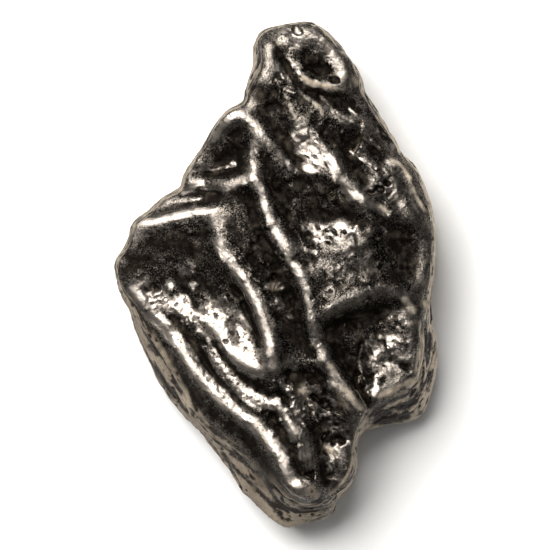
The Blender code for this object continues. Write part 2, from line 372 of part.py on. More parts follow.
class Skin:
    """A skin drawn tight over wires: a grid of heights that relaxes between the pinned ones."""

    def __init__(self, outline, step):
        self.outline = outline
        self.step = step
        self.low = outline[:, :2].min(axis=0) - 2 * step
        high = outline[:, :2].max(axis=0) + 2 * step
        self.shape = tuple(np.ceil((high - self.low) / step).astype(int) + 1)
        self.x, self.y = (self.low[side] + step * np.arange(self.shape[side]) for side in (0, 1))
        self.inside = self.inside_mask()
        self.measure_edge()

    def inside_mask(self):
        mask = np.zeros(self.shape, bool)
        starts, ends = self.outline[:, :2], np.roll(self.outline[:, :2], -1, axis=0)
        for j, y in enumerate(self.y):
            crossing = (starts[:, 1] > y) != (ends[:, 1] > y)
            a, b = starts[crossing], ends[crossing]
            cuts = np.sort(a[:, 0] + (y - a[:, 1]) / (b[:, 1] - a[:, 1]) * (b[:, 0] - a[:, 0]))
            for left, right in zip(cuts[::2], cuts[1::2]):
                mask[(self.x > left) & (self.x < right), j] = True
        return mask

    def measure_edge(self):
        """How far each point is from the outline, and the nearest of the outline's own heights."""
        tree = KDTree(len(self.outline))
        for index, point in enumerate(self.outline):
            tree.insert(Vector((point[0], point[1], 0)), index)
        tree.balance()
        nearest = np.zeros(self.shape, int)
        self.inset = np.zeros(self.shape)
        for i, x in enumerate(self.x):
            for j, y in enumerate(self.y):
                _, nearest[i, j], self.inset[i, j] = tree.find(Vector((x, y, 0)))
        self.widest, self.edge, self.roll = (self.outline[nearest, column] for column in (2, 3, 4))

    def drape(self, wires, edge, rounds=260):
        """Heights of a skin that is held along the wires and, at the outline, at the edge's heights."""
        heights = edge.copy()
        pinned = ~self.inside
        for wire in wires:
            line = smooth_line(wire, steps=24)
            cells = np.round((line[:, :2] - self.low) / self.step).astype(int)
            heights[cells[:, 0], cells[:, 1]] = line[:, 2]
            pinned[cells[:, 0], cells[:, 1]] = True
        i, j = np.indices(self.shape)
        inner = np.zeros(self.shape, bool)
        inner[1:-1, 1:-1] = True
        halves = [inner & ~pinned & ((i + j) % 2 == side) for side in (0, 1)]
        pull = 1.85
        for _ in range(rounds):
            for half in halves:
                mean = heights.copy()
                mean[1:-1, 1:-1] = (
                    heights[:-2, 1:-1] + heights[2:, 1:-1] + heights[1:-1, :-2] + heights[1:-1, 2:]
                ) / 4
                heights[half] += pull * (mean - heights)[half]
        return heights

    def rolled(self, heights):
        """The heights brought down in a round roll to the widest line at the outline."""
        share = np.clip(self.inset / self.roll, 0, 1)
        full = (1 - (1 - share) ** ROLL_POWER) ** (1 / ROLL_POWER)
        return self.widest + (heights - self.widest) * full

    def worn(self, heights):
        """The heights after a ball has rolled under them, which leaves no crest sharper than the ball."""
        reach = int(CREST_WEAR * CREST_REACH / self.step)
        places = [(i, j) for i in range(-reach, reach + 1) for j in range(-reach, reach + 1)]
        places = [(i, j) for i, j in places if i**2 + j**2 <= reach**2]
        width, length = self.shape
        under = np.full(self.shape, np.inf)
        padded = np.pad(heights, reach, mode="edge")
        for i, j in places:
            sag = CREST_WEAR - np.sqrt(CREST_WEAR**2 - (i**2 + j**2) * self.step**2)
            near = padded[reach + i : reach + i + width, reach + j : reach + j + length]
            under = np.minimum(under, near + sag)
        over = np.full(self.shape, -np.inf)
        padded = np.pad(under, reach, mode="edge")
        for i, j in places:
            sag = CREST_WEAR - np.sqrt(CREST_WEAR**2 - (i**2 + j**2) * self.step**2)
            near = padded[reach + i : reach + i + width, reach + j : reach + j + length]
            over = np.maximum(over, near - sag)
        return over

    def sample(self, heights, points):
        """Heights at any places, in straight steps between the grid's own."""
        place = (points - self.low) / self.step
        cell = np.clip(place.astype(int), 0, np.array(self.shape) - 2)
        fx, fy = np.clip(place - cell, 0, 1).T
        i, j = cell.T
        return (
            heights[i, j] * (1 - fx) * (1 - fy)
            + heights[i + 1, j] * fx * (1 - fy)
            + heights[i, j + 1] * (1 - fx) * fy
            + heights[i + 1, j + 1] * fx * fy
        )


def softened(heights, rounds):
    """The heights with each point moved towards its neighbours, which rounds the crests."""
    heights = heights.copy()
    for _ in range(rounds):
        near = (heights[:-2, 1:-1] + heights[2:, 1:-1] + heights[1:-1, :-2] + heights[1:-1, 2:]) / 4
        heights[1:-1, 1:-1] = 0.5 * heights[1:-1, 1:-1] + 0.5 * near
    return heights


def coordinates(mesh):
    flat = np.empty(3 * len(mesh.vertices))
    mesh.vertices.foreach_get("co", flat)
    return flat.reshape(-1, 3)


def set_coordinates(mesh, points):
    mesh.vertices.foreach_set("co", np.ascontiguousarray(points, np.float32).ravel())
    mesh.update()


def applied(obj, kind, **settings):
    """Replaces the object's mesh by the one that a modifier makes of it."""
    modifier = obj.modifiers.new(kind.title(), kind)
    for key, value in settings.items():
        setattr(modifier, key, value)
    graph = bpy.context.evaluated_depsgraph_get()
    mesh = bpy.data.meshes.new_from_object(obj.evaluated_get(graph))
    obj.modifiers.clear()
    obj.data = mesh
    return obj


def outline_slab(outline, collection):
    """The outline as a flat slab of even squares, ready to be draped."""
    curve = bpy.data.curves.new("outline", "CURVE")
    curve.dimensions = "2D"
    curve.fill_mode = "BOTH"
    curve.extrude = SLAB_THICKNESS / 2 * MM
    spline = curve.splines.new("POLY")
    spline.points.add(len(outline) - 1)
    for point, (x, y, *_) in zip(spline.points, outline):
        point.co = (x * MM, y * MM, 0, 1)
    spline.use_cyclic_u = True
    drawn = bpy.data.objects.new("outline", curve)
    collection.objects.link(drawn)
    graph = bpy.context.evaluated_depsgraph_get()
    mesh = bpy.data.meshes.new_from_object(drawn.evaluated_get(graph))
    bpy.data.objects.remove(drawn)
    slab = bpy.data.objects.new(NAME, mesh)
    collection.objects.link(slab)
    applied(slab, "WELD", merge_threshold=0.01 * MM)
    return applied(slab, "REMESH", mode="VOXEL", voxel_size=SLAB_VOXEL * MM)


def make_stone(collection):
    outline = smooth_line(OUTLINE, closed=True)
    skin = Skin(outline, GRID_STEP)
    wires = [wire for group in WIRE_GROUPS for wire in group.values()]
    draped = softened(skin.drape(wires, skin.edge), 1)
    top = softened(skin.worn(skin.rolled(draped)), 1)
    relief = softened(skin.drape(UNDERSIDE.values(), 0 * skin.widest), 6)
    curl = skin.widest * np.clip(1 - skin.inset / CURL_WIDTH, 0, 1) ** CURL_POWER
    bottom = np.minimum(np.maximum(relief, 0) + curl, top)

    stone = outline_slab(outline, collection)
    points = coordinates(stone.data) / MM
    share = np.clip(points[:, 2] / SLAB_THICKNESS + 0.5, 0, 1)
    over, under = (skin.sample(heights, points[:, :2]) for heights in (top, bottom))
    points[:, 2] = under + (over - under) * share
    set_coordinates(stone.data, points * MM)

    applied(stone, "REMESH", mode="VOXEL", voxel_size=BODY_VOXEL * MM)
    points = coordinates(stone.data)
    points[points[:, 2] < WORN_FLAT * MM, 2] = 0
    set_coordinates(stone.data, points)
    faces = sum(len(polygon.vertices) - 2 for polygon in stone.data.polygons)
    applied(stone, "DECIMATE", ratio=TRIANGLES / faces)

    points = coordinates(stone.data)
    low, high = points.min(axis=0), points.max(axis=0)
    points -= [(low[0] + high[0]) / 2, (low[1] + high[1]) / 2, low[2]]
    points[points[:, 2] < FLATNESS * MM, 2] = 0
    set_coordinates(stone.data, points)
    stone.data.shade_smooth()
    return stone


def nickel_iron():
    material = bpy.data.materials.new("nickel_iron")
    material.use_nodes = True
    shader = material.node_tree.nodes["Principled BSDF"]
    shader.inputs["Base Color"].default_value = (0.22, 0.20, 0.18, 1)
    shader.inputs["Metallic"].default_value = 1.0
    shader.inputs["Roughness"].default_value = 0.35
    return material


def main():
    for obj in list(bpy.data.objects):
        bpy.data.objects.remove(obj)
    collection = bpy.data.collections.new("iron_meteorite")
    bpy.context.scene.collection.children.link(collection)
    stone = make_stone(collection)
    stone.data.materials.append(nickel_iron())


main()
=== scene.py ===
import bpy
import numpy as np
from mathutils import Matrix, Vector
from mathutils.kdtree import KDTree


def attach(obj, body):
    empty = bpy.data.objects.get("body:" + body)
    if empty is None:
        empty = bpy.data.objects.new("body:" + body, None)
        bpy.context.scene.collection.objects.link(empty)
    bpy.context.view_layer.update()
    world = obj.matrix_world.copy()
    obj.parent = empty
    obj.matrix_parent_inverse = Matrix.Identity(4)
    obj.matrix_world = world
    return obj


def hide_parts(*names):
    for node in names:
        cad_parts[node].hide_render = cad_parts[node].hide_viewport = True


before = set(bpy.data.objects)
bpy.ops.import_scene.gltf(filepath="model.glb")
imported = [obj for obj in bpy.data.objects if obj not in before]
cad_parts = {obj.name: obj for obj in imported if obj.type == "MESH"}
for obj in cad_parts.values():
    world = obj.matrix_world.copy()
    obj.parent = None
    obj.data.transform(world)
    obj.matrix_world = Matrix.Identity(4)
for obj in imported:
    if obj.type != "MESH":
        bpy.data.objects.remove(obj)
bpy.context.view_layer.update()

# The table: a plain sheet of matt white card that the stone lies on, wide enough to fill the picture
# and to light the stone's walls from below.
CARD_WIDTH = 1.6
CARD_WHITE = (0.88, 0.88, 0.88, 1)


def deselect_all():
    for thing in bpy.context.selected_objects:
        thing.select_set(False)


deselect_all()
bpy.ops.mesh.primitive_plane_add(size=CARD_WIDTH, location=(0, 0, 0))
table = bpy.context.object
table.name = "white_table"
card = bpy.data.materials.new("white_card")
card.use_nodes = True
card_shader = card.node_tree.nodes["Principled BSDF"]
card_shader.inputs["Base Color"].default_value = CARD_WHITE
card_shader.inputs["Roughness"].default_value = 0.9
card_shader.inputs["Specular IOR Level"].default_value = 0.1
table.data.materials.append(card)

# The light: a softbox high on the upper left of a dark studio, which draws bright bands along all that
# leans its way and leaves level metal nearly black. It is split into a strong one for the matt surfaces
# and weaker ones that only the metal mirrors, as a catalogue picture has its highlights held back.
SOFTBOX_COLOUR = (1.0, 0.985, 0.96)
STONE_CENTRE = (0, 0, 0.008)


def aimed(lamp, azimuth, elevation, away):
    """Places a lamp on a sphere round the stone, shining at it."""
    turn, lift = np.radians(azimuth), np.radians(elevation)
    out = Vector((np.cos(turn) * np.cos(lift), np.sin(turn) * np.cos(lift), np.sin(lift)))
    lamp.location = Vector(STONE_CENTRE) + away * out
    lamp.rotation_euler = out.to_track_quat("Z", "Y").to_euler()


for name, azimuth, elevation, away, size, watts in (
    ("key_softbox", 126, 56, 0.5, 0.40, 5.8),
    ("mirrored_softbox", 126, 60, 0.47, 0.30, 2.2),
    ("mirrored_spill", 124, 60, 0.53, 0.62, 0.6),
):
    bpy.ops.object.light_add(type="AREA")
    key = bpy.context.object
    key.name = name
    key.data.shape = "SQUARE"
    key.data.size = size
    key.data.energy = watts
    key.data.color = SOFTBOX_COLOUR
    key.visible_glossy = name != "key_softbox"
    key.visible_diffuse = name == "key_softbox"
    aimed(key, azimuth, elevation, away)

# A wide fill overhead lightens the shadow on the table. It stands for light that the metal doesn't
# mirror, so it isn't seen in reflections.
FILL_HEIGHT, FILL_WIDTH, FILL_WATTS = 1.4, 1.5, 3.2
bpy.ops.object.light_add(type="AREA", location=(0, 0, FILL_HEIGHT))
fill = bpy.context.object
fill.name = "overhead_fill"
fill.data.shape = "SQUARE"
fill.data.size = FILL_WIDTH
fill.data.energy = FILL_WATTS
fill.visible_glossy = False

# The studio's white walls are lit low down and fade to a dark ceiling, so they soften the shadow but
# aren't seen in anything level.
WALL_WHITE = (1.0, 0.985, 0.965, 1)
WALL_FADE = {"From Min": 0.1, "From Max": 0.75, "To Min": 0.16, "To Max": 0.03}
studio = bpy.data.worlds.new("dark_studio")
studio.use_nodes = True
nodes, links = studio.node_tree.nodes, studio.node_tree.links
direction = nodes.new("ShaderNodeTexCoord")
height = nodes.new("ShaderNodeSeparateXYZ")
fade = nodes.new("ShaderNodeMapRange")
for socket, value in WALL_FADE.items():
    fade.inputs[socket].default_value = value
links.new(direction.outputs["Generated"], height.inputs["Vector"])
links.new(height.outputs["Z"], fade.inputs["Value"])
links.new(fade.outputs["Result"], nodes["Background"].inputs["Strength"])
nodes["Background"].inputs["Color"].default_value = WALL_WHITE
bpy.context.scene.world = studio
bpy.context.scene.view_settings.view_transform = "Standard"

# The camera looks straight down from a metre above the stone's crests, on a long lens, so the picture
# is 55 mm wide there and the walls hardly lean.
CAMERA_AWAY = 1.0
PICTURE_WIDTH = 0.055
PICTURE_MIDDLE = (-0.00012, -0.00005)
CREST_HEIGHT = 0.009
SENSOR_MM = 36
bpy.ops.object.camera_add(location=(*PICTURE_MIDDLE, CAMERA_AWAY + CREST_HEIGHT), rotation=(0, 0, 0))
camera = bpy.context.object
camera.name = "camera"
camera.data.sensor_width = SENSOR_MM
camera.data.lens = SENSOR_MM * CAMERA_AWAY / PICTURE_WIDTH
bpy.context.scene.camera = camera

# The meteorite: one weathered fragment of nickel-iron, brushed bright along its crests and brown in
# its hollows. Its relief is a skin drawn tight over wires that run along the crests, rims and valleys,
# with places in millimetres, X to the right, Y up the long side and the height above the table.
MM = 0.001

# The outline seen from above, clockwise from the tip. Each point has the height of the widest line,
# the height that the skin meets the wall at, and the width of the roll between the two.
OUTLINE = [
    (2.5, 25.2, 5.6, 10.9, 0.5), (4.1, 24.9, 5.6, 11, 0.7), (5.7, 23.7, 5.5, 11.1, 1),
    (7.2, 21.8, 5.4, 11.1, 0.7), (8.4, 20, 5.2, 10.9, 0.5), (8.9, 18.1, 5, 10.5, 0.3),
    (10.3, 15.9, 4.8, 10.4, 0.25), (11.6, 13.9, 4.7, 10.4, 0.25), (12.6, 12.2, 4.6, 10.4, 0.25),
    (14, 10.7, 4.5, 10.4, 0.25), (15, 8.6, 4.4, 10.3, 0.25), (15.6, 6.5, 4.3, 10.2, 0.25),
    (16, 3.7, 4.1, 10, 0.3), (15.8, 0.5, 4, 10, 0.4), (15.5, -2.4, 3.8, 9.6, 0.4),
    (15.6, -4.9, 3.6, 7.2, 0.5), (16.2, -7.3, 3.3, 5.4, 0.5), (16.1, -9.5, 3.1, 4.8, 0.5),
    (15.5, -12.2, 2.9, 4.3, 0.5), (14.9, -13.9, 2.7, 4, 0.5), (13.6, -14.7, 2.5, 3.8, 0.5),
    (11.5, -15.1, 2.4, 3.8, 0.5), (9.7, -15.5, 2.5, 4.6, 0.5), (8.8, -15.7, 2.7, 7.5, 0.5),
    (8.3, -16.5, 2.9, 9, 0.6), (8.1, -17.9, 3.2, 9.3, 0.6), (8.1, -19.3, 3.5, 9.2, 0.6),
    (7.6, -20.8, 3.8, 9, 0.6), (6.5, -22, 4.1, 8.6, 0.6), (5.9, -22.7, 4.2, 7, 0.5),
    (5.8, -23.6, 4.4, 5.8, 0.5), (4.6, -24.6, 4.5, 5.5, 0.5), (2.9, -25, 4.5, 5.5, 0.5),
    (1.1, -25.3, 4.3, 5.3, 0.5), (-0.3, -24.7, 4.1, 5.1, 0.5), (-1.9, -23.3, 3.8, 4.8, 0.5),
    (-3.4, -21.9, 3.6, 4.6, 0.5), (-4.4, -20.3, 3.4, 4.4, 0.5), (-5.7, -18.4, 3.2, 4.2, 0.5),
    (-7.2, -16.3, 3, 4.2, 0.5), (-8.9, -14.5, 2.9, 4.2, 0.5), (-10.6, -12.5, 2.8, 4.2, 0.5),
    (-11.8, -10.6, 2.7, 4.2, 0.5), (-13.1, -8, 2.7, 4.3, 0.5), (-14.1, -5.7, 2.7, 4.6, 0.5),
    (-14.7, -3.6, 2.7, 5.6, 0.5), (-15.6, -1.8, 2.8, 7.6, 0.4), (-16.1, 0.3, 3, 9.6, 0.25),
    (-16, 1.6, 3.1, 9.9, 0.25), (-15.3, 2.6, 3.3, 9.7, 0.5), (-14.8, 3.7, 3.4, 9.6, 0.6),
    (-14.3, 5.2, 3.6, 9.3, 0.5), (-12.8, 6.4, 3.7, 9, 0.25), (-11.3, 7.7, 3.9, 9.1, 0.25),
    (-9.7, 8.6, 4, 9.2, 0.25), (-9.3, 9.7, 4.1, 9.4, 0.25), (-8.3, 11.5, 4.3, 10.3, 0.3),
    (-7.1, 13.2, 4.5, 11.2, 0.3), (-6.1, 15, 4.7, 11.5, 0.3), (-4.9, 16.4, 4.8, 11.6, 0.35),
    (-3.3, 17.2, 4.9, 11.3, 0.3), (-3, 18.6, 5.1, 11.2, 0.4), (-2.4, 20.7, 5.3, 8.6, 0.5),
    (-2.2, 23, 5.4, 8.2, 0.5), (-1.3, 24.4, 5.5, 9.2, 0.5), (0.6, 25, 5.6, 10.5, 0.5),
]

# The left plate: a tilted slab of metal with a worn rim down its left side and a ridge down its right.
LEFT_PLATE = {
    "left_rim": [
        (-14.4, -1.6, 9.6), (-13.4, -2.6, 9.75), (-12.5, -3.8, 9.8), (-11.5, -4.8, 10),
        (-10.7, -5.8, 10.1), (-9.9, -6.8, 10.2), (-9.2, -7.8, 10.3), (-8.5, -8.8, 10.4),
        (-7.9, -9.7, 10.5), (-7, -10.7, 10.7), (-6.3, -11.4, 10.8), (-5.3, -12.4, 10.9),
        (-4.3, -13.3, 11), (-3.3, -14.1, 11.1), (-2.3, -14.9, 11.2), (-1.5, -15.6, 11.3),
        (-0.7, -16.6, 11.45), (0, -17.4, 11.65), (0.6, -18.4, 11.85), (1.1, -19.6, 12.15),
        (1.6, -20.6, 12.4), (2.1, -21.4, 12.45), (2.6, -22.2, 11.4),
    ],
    "left_rim_outer": [
        (-14.6, -1.9, 9.5), (-13.7, -2.8, 9.6), (-12.9, -3.9, 9.7), (-11.9, -5, 9.85), (-11.1, -6, 9.95),
        (-10.3, -7, 10.05), (-9.55, -8, 10.15), (-8.85, -9, 10.3), (-8.2, -9.95, 10.4),
        (-7.3, -10.95, 10.55), (-6.6, -11.7, 10.65), (-5.6, -12.7, 10.75), (-4.6, -13.6, 10.85),
        (-3.6, -14.4, 10.95), (-2.6, -15.2, 11.05), (-1.8, -15.9, 11.15), (-1, -16.85, 11.35),
        (-0.3, -17.65, 11.55), (0.3, -18.6, 11.8), (0.8, -19.8, 12.1), (1.3, -20.85, 12.35),
        (1.8, -21.6, 12.4),
    ],
    "wall_top": [
        (-15.7, -0.2, 9.7), (-15.3, -1.3, 9.5), (-15, -2.2, 9.2), (-14.5, -3.2, 8.9), (-13.7, -4.3, 8.9),
        (-12.8, -5.6, 8.9), (-11.9, -6.9, 9), (-11.2, -8, 9), (-10.7, -9, 8.9), (-10, -10.3, 8.9),
        (-9.2, -11.5, 9), (-8.5, -12.8, 9.1), (-7.7, -14, 9.2), (-7, -15.1, 9.2), (-5.9, -15.9, 9.3),
        (-4.7, -16.6, 9.5), (-3.7, -17.3, 9.7), (-2.7, -18.3, 9.7), (-1.5, -19.6, 9.7), (-0.4, -21, 9.5),
        (0.9, -22.4, 9.1), (2.2, -23.3, 8.6), (4, -23.6, 8), (5.4, -23.1, 7.7),
    ],
    "top_rim": [
        (-14.6, 4.4, 10), (-14.1, 5.2, 10.05), (-13.3, 5.4, 10.15), (-11.5, 5.6, 10.5), (-10, 6, 10.9),
        (-8.5, 6.3, 11.3), (-7, 6.6, 11.7), (-6.2, 6.6, 11.9),
    ],
    "right_ridge": [
        (-6.2, 6.6, 11.7), (-6, 5, 11.75), (-5.9, 3.4, 11.85), (-5.3, 2.4, 11.95), (-4.7, 1.4, 12.1),
        (-4.2, 0.6, 12.2), (-3.5, -0.3, 12.35), (-3, -1.3, 12.5), (-2.5, -2.2, 12.6), (-2, -3.3, 12.75),
        (-1.55, -4.6, 12.95), (-1.1, -5.9, 13.15), (-0.65, -7.1, 13.3), (-0.45, -8.1, 13.45),
        (-0.3, -9.1, 13.5), (-0.1, -10.2, 12.6), (0.5, -11.6, 11.8),
    ],
    "ridge_foot": [
        (-5.4, 0, 11.3), (-4.6, -0.9, 11.5), (-3.8, -1.9, 11.6), (-3.2, -2.9, 11.7), (-2.7, -4.1, 11.6),
        (-2.2, -5.4, 11.65), (-1.75, -6.6, 11.8), (-1.45, -7.5, 12.15),
    ],
    "under_rim": [
        (-14.2, 3.4, 9.85), (-12.5, 3.9, 9.9), (-10.5, 4.2, 10.3), (-8.5, 4.6, 10.8), (-7.2, 4.6, 11.1),
        (-7, 3, 11),
    ],
    "hollow": [
        (-15.3, 0.4, 9.85), (-13.5, -0.2, 9.65), (-11.5, -0.3, 9.5), (-9.5, -0.2, 9.6), (-8, -0.8, 9.85),
        (-6.4, -1.6, 10.4),
    ],
    "upper": [
        (-15.3, 2, 9.95), (-12.5, 1.8, 9.75), (-10.5, 2, 9.9), (-8.5, 1.8, 10.2), (-6.9, 1.2, 10.8),
    ],
    "patch": [(-13.2, -1.6, 9.55), (-12.2, -2.2, 9.65), (-11, -2.4, 9.7)],
    "plate": [
        (-6.6, -2.8, 10.3), (-5.2, -4, 10.75), (-4.2, -5, 11.1), (-3.3, -6.2, 11.45), (-2.4, -7.6, 11.8),
        (-1.2, -9, 12.15),
    ],
    "plate_left": [
        (-10.6, -2.6, 9.7), (-8.6, -3, 10.1), (-6.8, -5.2, 10.65), (-5.4, -7.4, 11.2), (-4.4, -8.6, 11.6),
    ],
    "plate_low": [(-4.4, -8.6, 11.6), (-3, -9.3, 11.95), (-1.7, -9.6, 12.3)],
    "rim_groove": [
        (-12.4, -2.8, 9.5), (-11.5, -3.4, 9.6), (-10.5, -4.2, 9.7), (-9.5, -5.3, 9.7), (-8.8, -6.2, 9.75),
        (-8, -7.2, 9.8), (-7.3, -8.4, 9.9), (-6.7, -9.4, 10), (-5.9, -10.5, 10.2), (-4.9, -11.6, 10.4),
        (-3.9, -12.7, 10.6), (-2.9, -13.5, 10.8), (-2, -14.2, 11),
    ],
    "band": [
        (-10, -3.8, 10.1), (-9.2, -4.6, 10.2), (-8.3, -5.4, 10.3), (-7.5, -6.2, 10.4), (-6.7, -7, 10.6),
        (-6.1, -7.9, 10.7), (-5.3, -9.4, 10.9), (-4.5, -10.2, 11), (-3.9, -11, 11.1), (-3, -11.8, 11.2),
        (-2, -12.6, 11.4), (-1, -12.8, 11.5), (-0.3, -12.8, 11.6),
    ],
    "under_plate": [
        (-8, -4.8, 10.1), (-7, -5.8, 10.2), (-6.2, -6.7, 10.3), (-5.3, -8.3, 10.5), (-4.3, -9.6, 10.7),
        (-3.5, -10.4, 10.8), (-2.7, -11, 10.9), (-1.3, -11.6, 11.1), (-0.3, -12.4, 11.3),
    ],
    "toe_crest": [
        (0, -12.8, 11.65), (0.5, -13.4, 11.75), (1, -14.4, 11.85), (1.5, -15.6, 11.9), (1.7, -16.4, 11.8),
    ],
    "toe_hollow": [
        (-0.6, -14.2, 11), (0.2, -15.2, 10.9), (0.9, -16.4, 11), (1.5, -17.4, 11.1), (2, -18.8, 11.1),
        (2.5, -20.2, 10.9),
    ],
    "toe_ridge": [
        (0, -10.1, 11.9), (0.5, -11.6, 11.75), (1, -12.1, 11.6), (1.7, -13.6, 11.5), (2.5, -15.1, 11.65),
        (3, -16.3, 11.9), (3.3, -17.6, 12.15), (3.4, -18.8, 12.25), (3.4, -19.8, 11.7),
        (3.5, -20.6, 11.6), (3.7, -21.4, 11.85), (3.9, -22.1, 11.95),
    ],
    "nose": [(2.6, -23, 9.9), (3.6, -23, 9.8), (4.5, -22.8, 9.5), (5.2, -22.4, 9.1)],
}

# The shoulder: a smaller plate above the left one, parted from it by a split.
SHOULDER = {
    "rim_groove": [
        (-12.5, 6, 9.2), (-10.5, 6.7, 9.7), (-8.5, 7.1, 10.2), (-7, 7.1, 10.6), (-5.6, 7.3, 11.1),
        (-4.6, 7.5, 11.3),
    ],
    "low_lip": [(-12, 6.9, 9.5), (-10.7, 7.3, 10), (-8.7, 7.5, 10.5), (-7.5, 7.5, 10.8)],
    "split": [(-10, 7.8, 9.8), (-8.5, 8, 10.1), (-6.8, 8, 10.5), (-5.2, 7.9, 11.1)],
    "lip_edge": [
        (-9.2, 8.4, 10.1), (-7.5, 8.8, 10.6), (-5.8, 8.6, 11.3), (-4.7, 8.7, 11.7), (-3.5, 9.1, 12),
        (-2.5, 9.7, 12.4),
    ],
    "lip": [(-9.3, 9, 10.1), (-8, 9.1, 10.5), (-6.5, 9.4, 10.9), (-5, 9.5, 11.4), (-3.5, 9.8, 11.9)],
    "under_lip": [(-5.3, 7.6, 11.2), (-3.9, 8.2, 11.5), (-2.9, 8.8, 11.8)],
    "rim": [
        (-8.9, 9.8, 9.9), (-8.3, 10.8, 10.4), (-7, 12.4, 11.3), (-5.7, 13.9, 11.75), (-4.9, 14.8, 11.85),
        (-4.2, 15.6, 11.95), (-3.7, 16, 12),
    ],
    "right_ridge": [
        (-3.7, 16, 12), (-3.3, 15.8, 12.05), (-2.5, 15.3, 12.1), (-1.9, 14.7, 12.2), (-1, 13.5, 12.3),
        (-0.3, 12.7, 12.4), (0.5, 11.9, 12.3), (1.2, 11, 12.1), (1.8, 10.4, 12), (2.3, 10.1, 11.8),
    ],
    "rib": [
        (-1.9, 14.7, 12.2), (-2, 13.9, 12.1), (-2.3, 12.9, 12), (-2.5, 11.9, 12), (-2.4, 11.1, 12.1),
        (-2.2, 10.2, 12.3), (-2.3, 9.6, 12.4),
    ],
    "facet": [(-7.2, 11.6, 10), (-5.6, 13, 10.5), (-4.4, 14.2, 11), (-3.4, 14.6, 11.4)],
    "facet_low": [(-6.2, 10.9, 9.9), (-4.5, 11.8, 10.3), (-3.3, 12.6, 10.8)],
    "foot": [(-8.3, 10.2, 9.8), (-6.5, 10, 9.9), (-4.5, 10.3, 10.4), (-3.2, 10.9, 11)],
    "foot_lip": [(-7.8, 10.6, 10.1), (-6.5, 10.5, 10.2), (-5.2, 10.7, 10.4), (-4.2, 11, 10.7)],
}

# The spine: the highest crest, running from the shoulder down to the notch, and the trench on its left.
SPINE = {
    "crest": [
        (-2.3, 9.6, 12.4), (-1.8, 9.1, 12.5), (-1.4, 8.4, 12.5), (-1.3, 7.5, 12.5), (-1, 6.3, 12.6),
        (-0.6, 5.4, 12.6), (-0.3, 4.6, 12.7), (0.1, 3.8, 12.7), (0.5, 3, 12.8), (0.9, 2.2, 12.9),
        (1.5, 1.2, 13), (2.2, 0.2, 13), (2.7, -0.8, 13.1), (3.1, -1.8, 13.1), (3.3, -2.9, 13.1),
        (3.5, -4.1, 13.1), (3.8, -5.3, 13.1), (4.1, -6.6, 12.9), (4.5, -7.4, 12.9), (5.3, -9, 13),
        (6.5, -10.8, 13.2), (7.1, -11.7, 13.3), (7.8, -12.6, 13.3), (8.4, -13.3, 13),
    ],
    "trench": [
        (-4.9, 6.8, 11.7), (-4.5, 5.2, 11.8), (-3.6, 3.4, 11.85), (-2.6, 1.8, 11.9), (-1.5, 0.2, 11.95),
        (-0.4, -1.2, 11.95), (0.4, -3, 12), (1, -4.8, 11.9), (1.7, -6.4, 11.9), (2.6, -7.8, 11.9),
    ],
    "crest_foot": [
        (-2.8, 8.2, 11.6), (-2.3, 6.8, 11.5), (-1.8, 5, 11.6), (-1.2, 3.4, 11.6), (-0.5, 2, 11.7),
        (0.4, 0.4, 11.75), (1.2, -0.9, 11.8), (1.7, -2.4, 11.8), (2, -3.9, 11.8), (2.4, -5.4, 11.8),
        (3, -7, 11.8), (3.8, -8.2, 11.9),
    ],
    "trench_end": [(0.7, -8.3, 11.9), (1.7, -8.9, 12), (3, -8.7, 12.1), (4.2, -8.9, 12.3)],
    "pocket": [(1.2, -9.9, 11.5), (2.4, -10.3, 11.2), (3.6, -10.2, 11.1), (4.7, -10.4, 11.3)],
    "foot": [(4.6, -10.6, 11.6), (5.6, -12.2, 11.4), (6.9, -13.9, 11.2)],
    "spur": [(0.9, 3.2, 12.8), (1.6, 3, 12.7), (2.4, 2.7, 12.6), (3, 2.4, 12.5), (3.9, 2.2, 12.4)],
    "spur_foot": [(2.3, 1.9, 12.4), (3.3, 1.4, 12.3)],
    "shelf": [(3.6, 0, 12.6), (4, -1.5, 12.6), (4.2, -3.2, 12.6), (4.3, -4.8, 12.5), (4.5, -6.2, 12.4)],
    "right_channel": [
        (4.9, -6.2, 11.7), (5.7, -7.4, 11.4), (6.6, -8.9, 11.2), (7.6, -10.4, 11), (8.5, -11.8, 10.8),
        (9.1, -13.1, 10.6),
    ],
}

# The lower lobe, a rough floor between the toe and the end of the spine.
LOWER_LOBE = {
    "floor": [(3.6, -11.6, 10.9), (4.4, -13.2, 10.8), (5.2, -15, 10.5), (5.6, -17, 10.3)],
    "channel": [(3.8, -15.6, 10.6), (4.2, -17.2, 10.4), (4.6, -19.2, 10.1), (5.1, -21, 9.6)],
    "rim": [
        (8.4, -13.3, 13), (8.4, -14.6, 11.5), (8, -15.8, 10.6), (7.7, -17.2, 10.4), (7.5, -19, 10.2),
        (6.9, -20.4, 9.9), (6, -21.4, 9.5), (5.3, -22, 9.2),
    ],
}

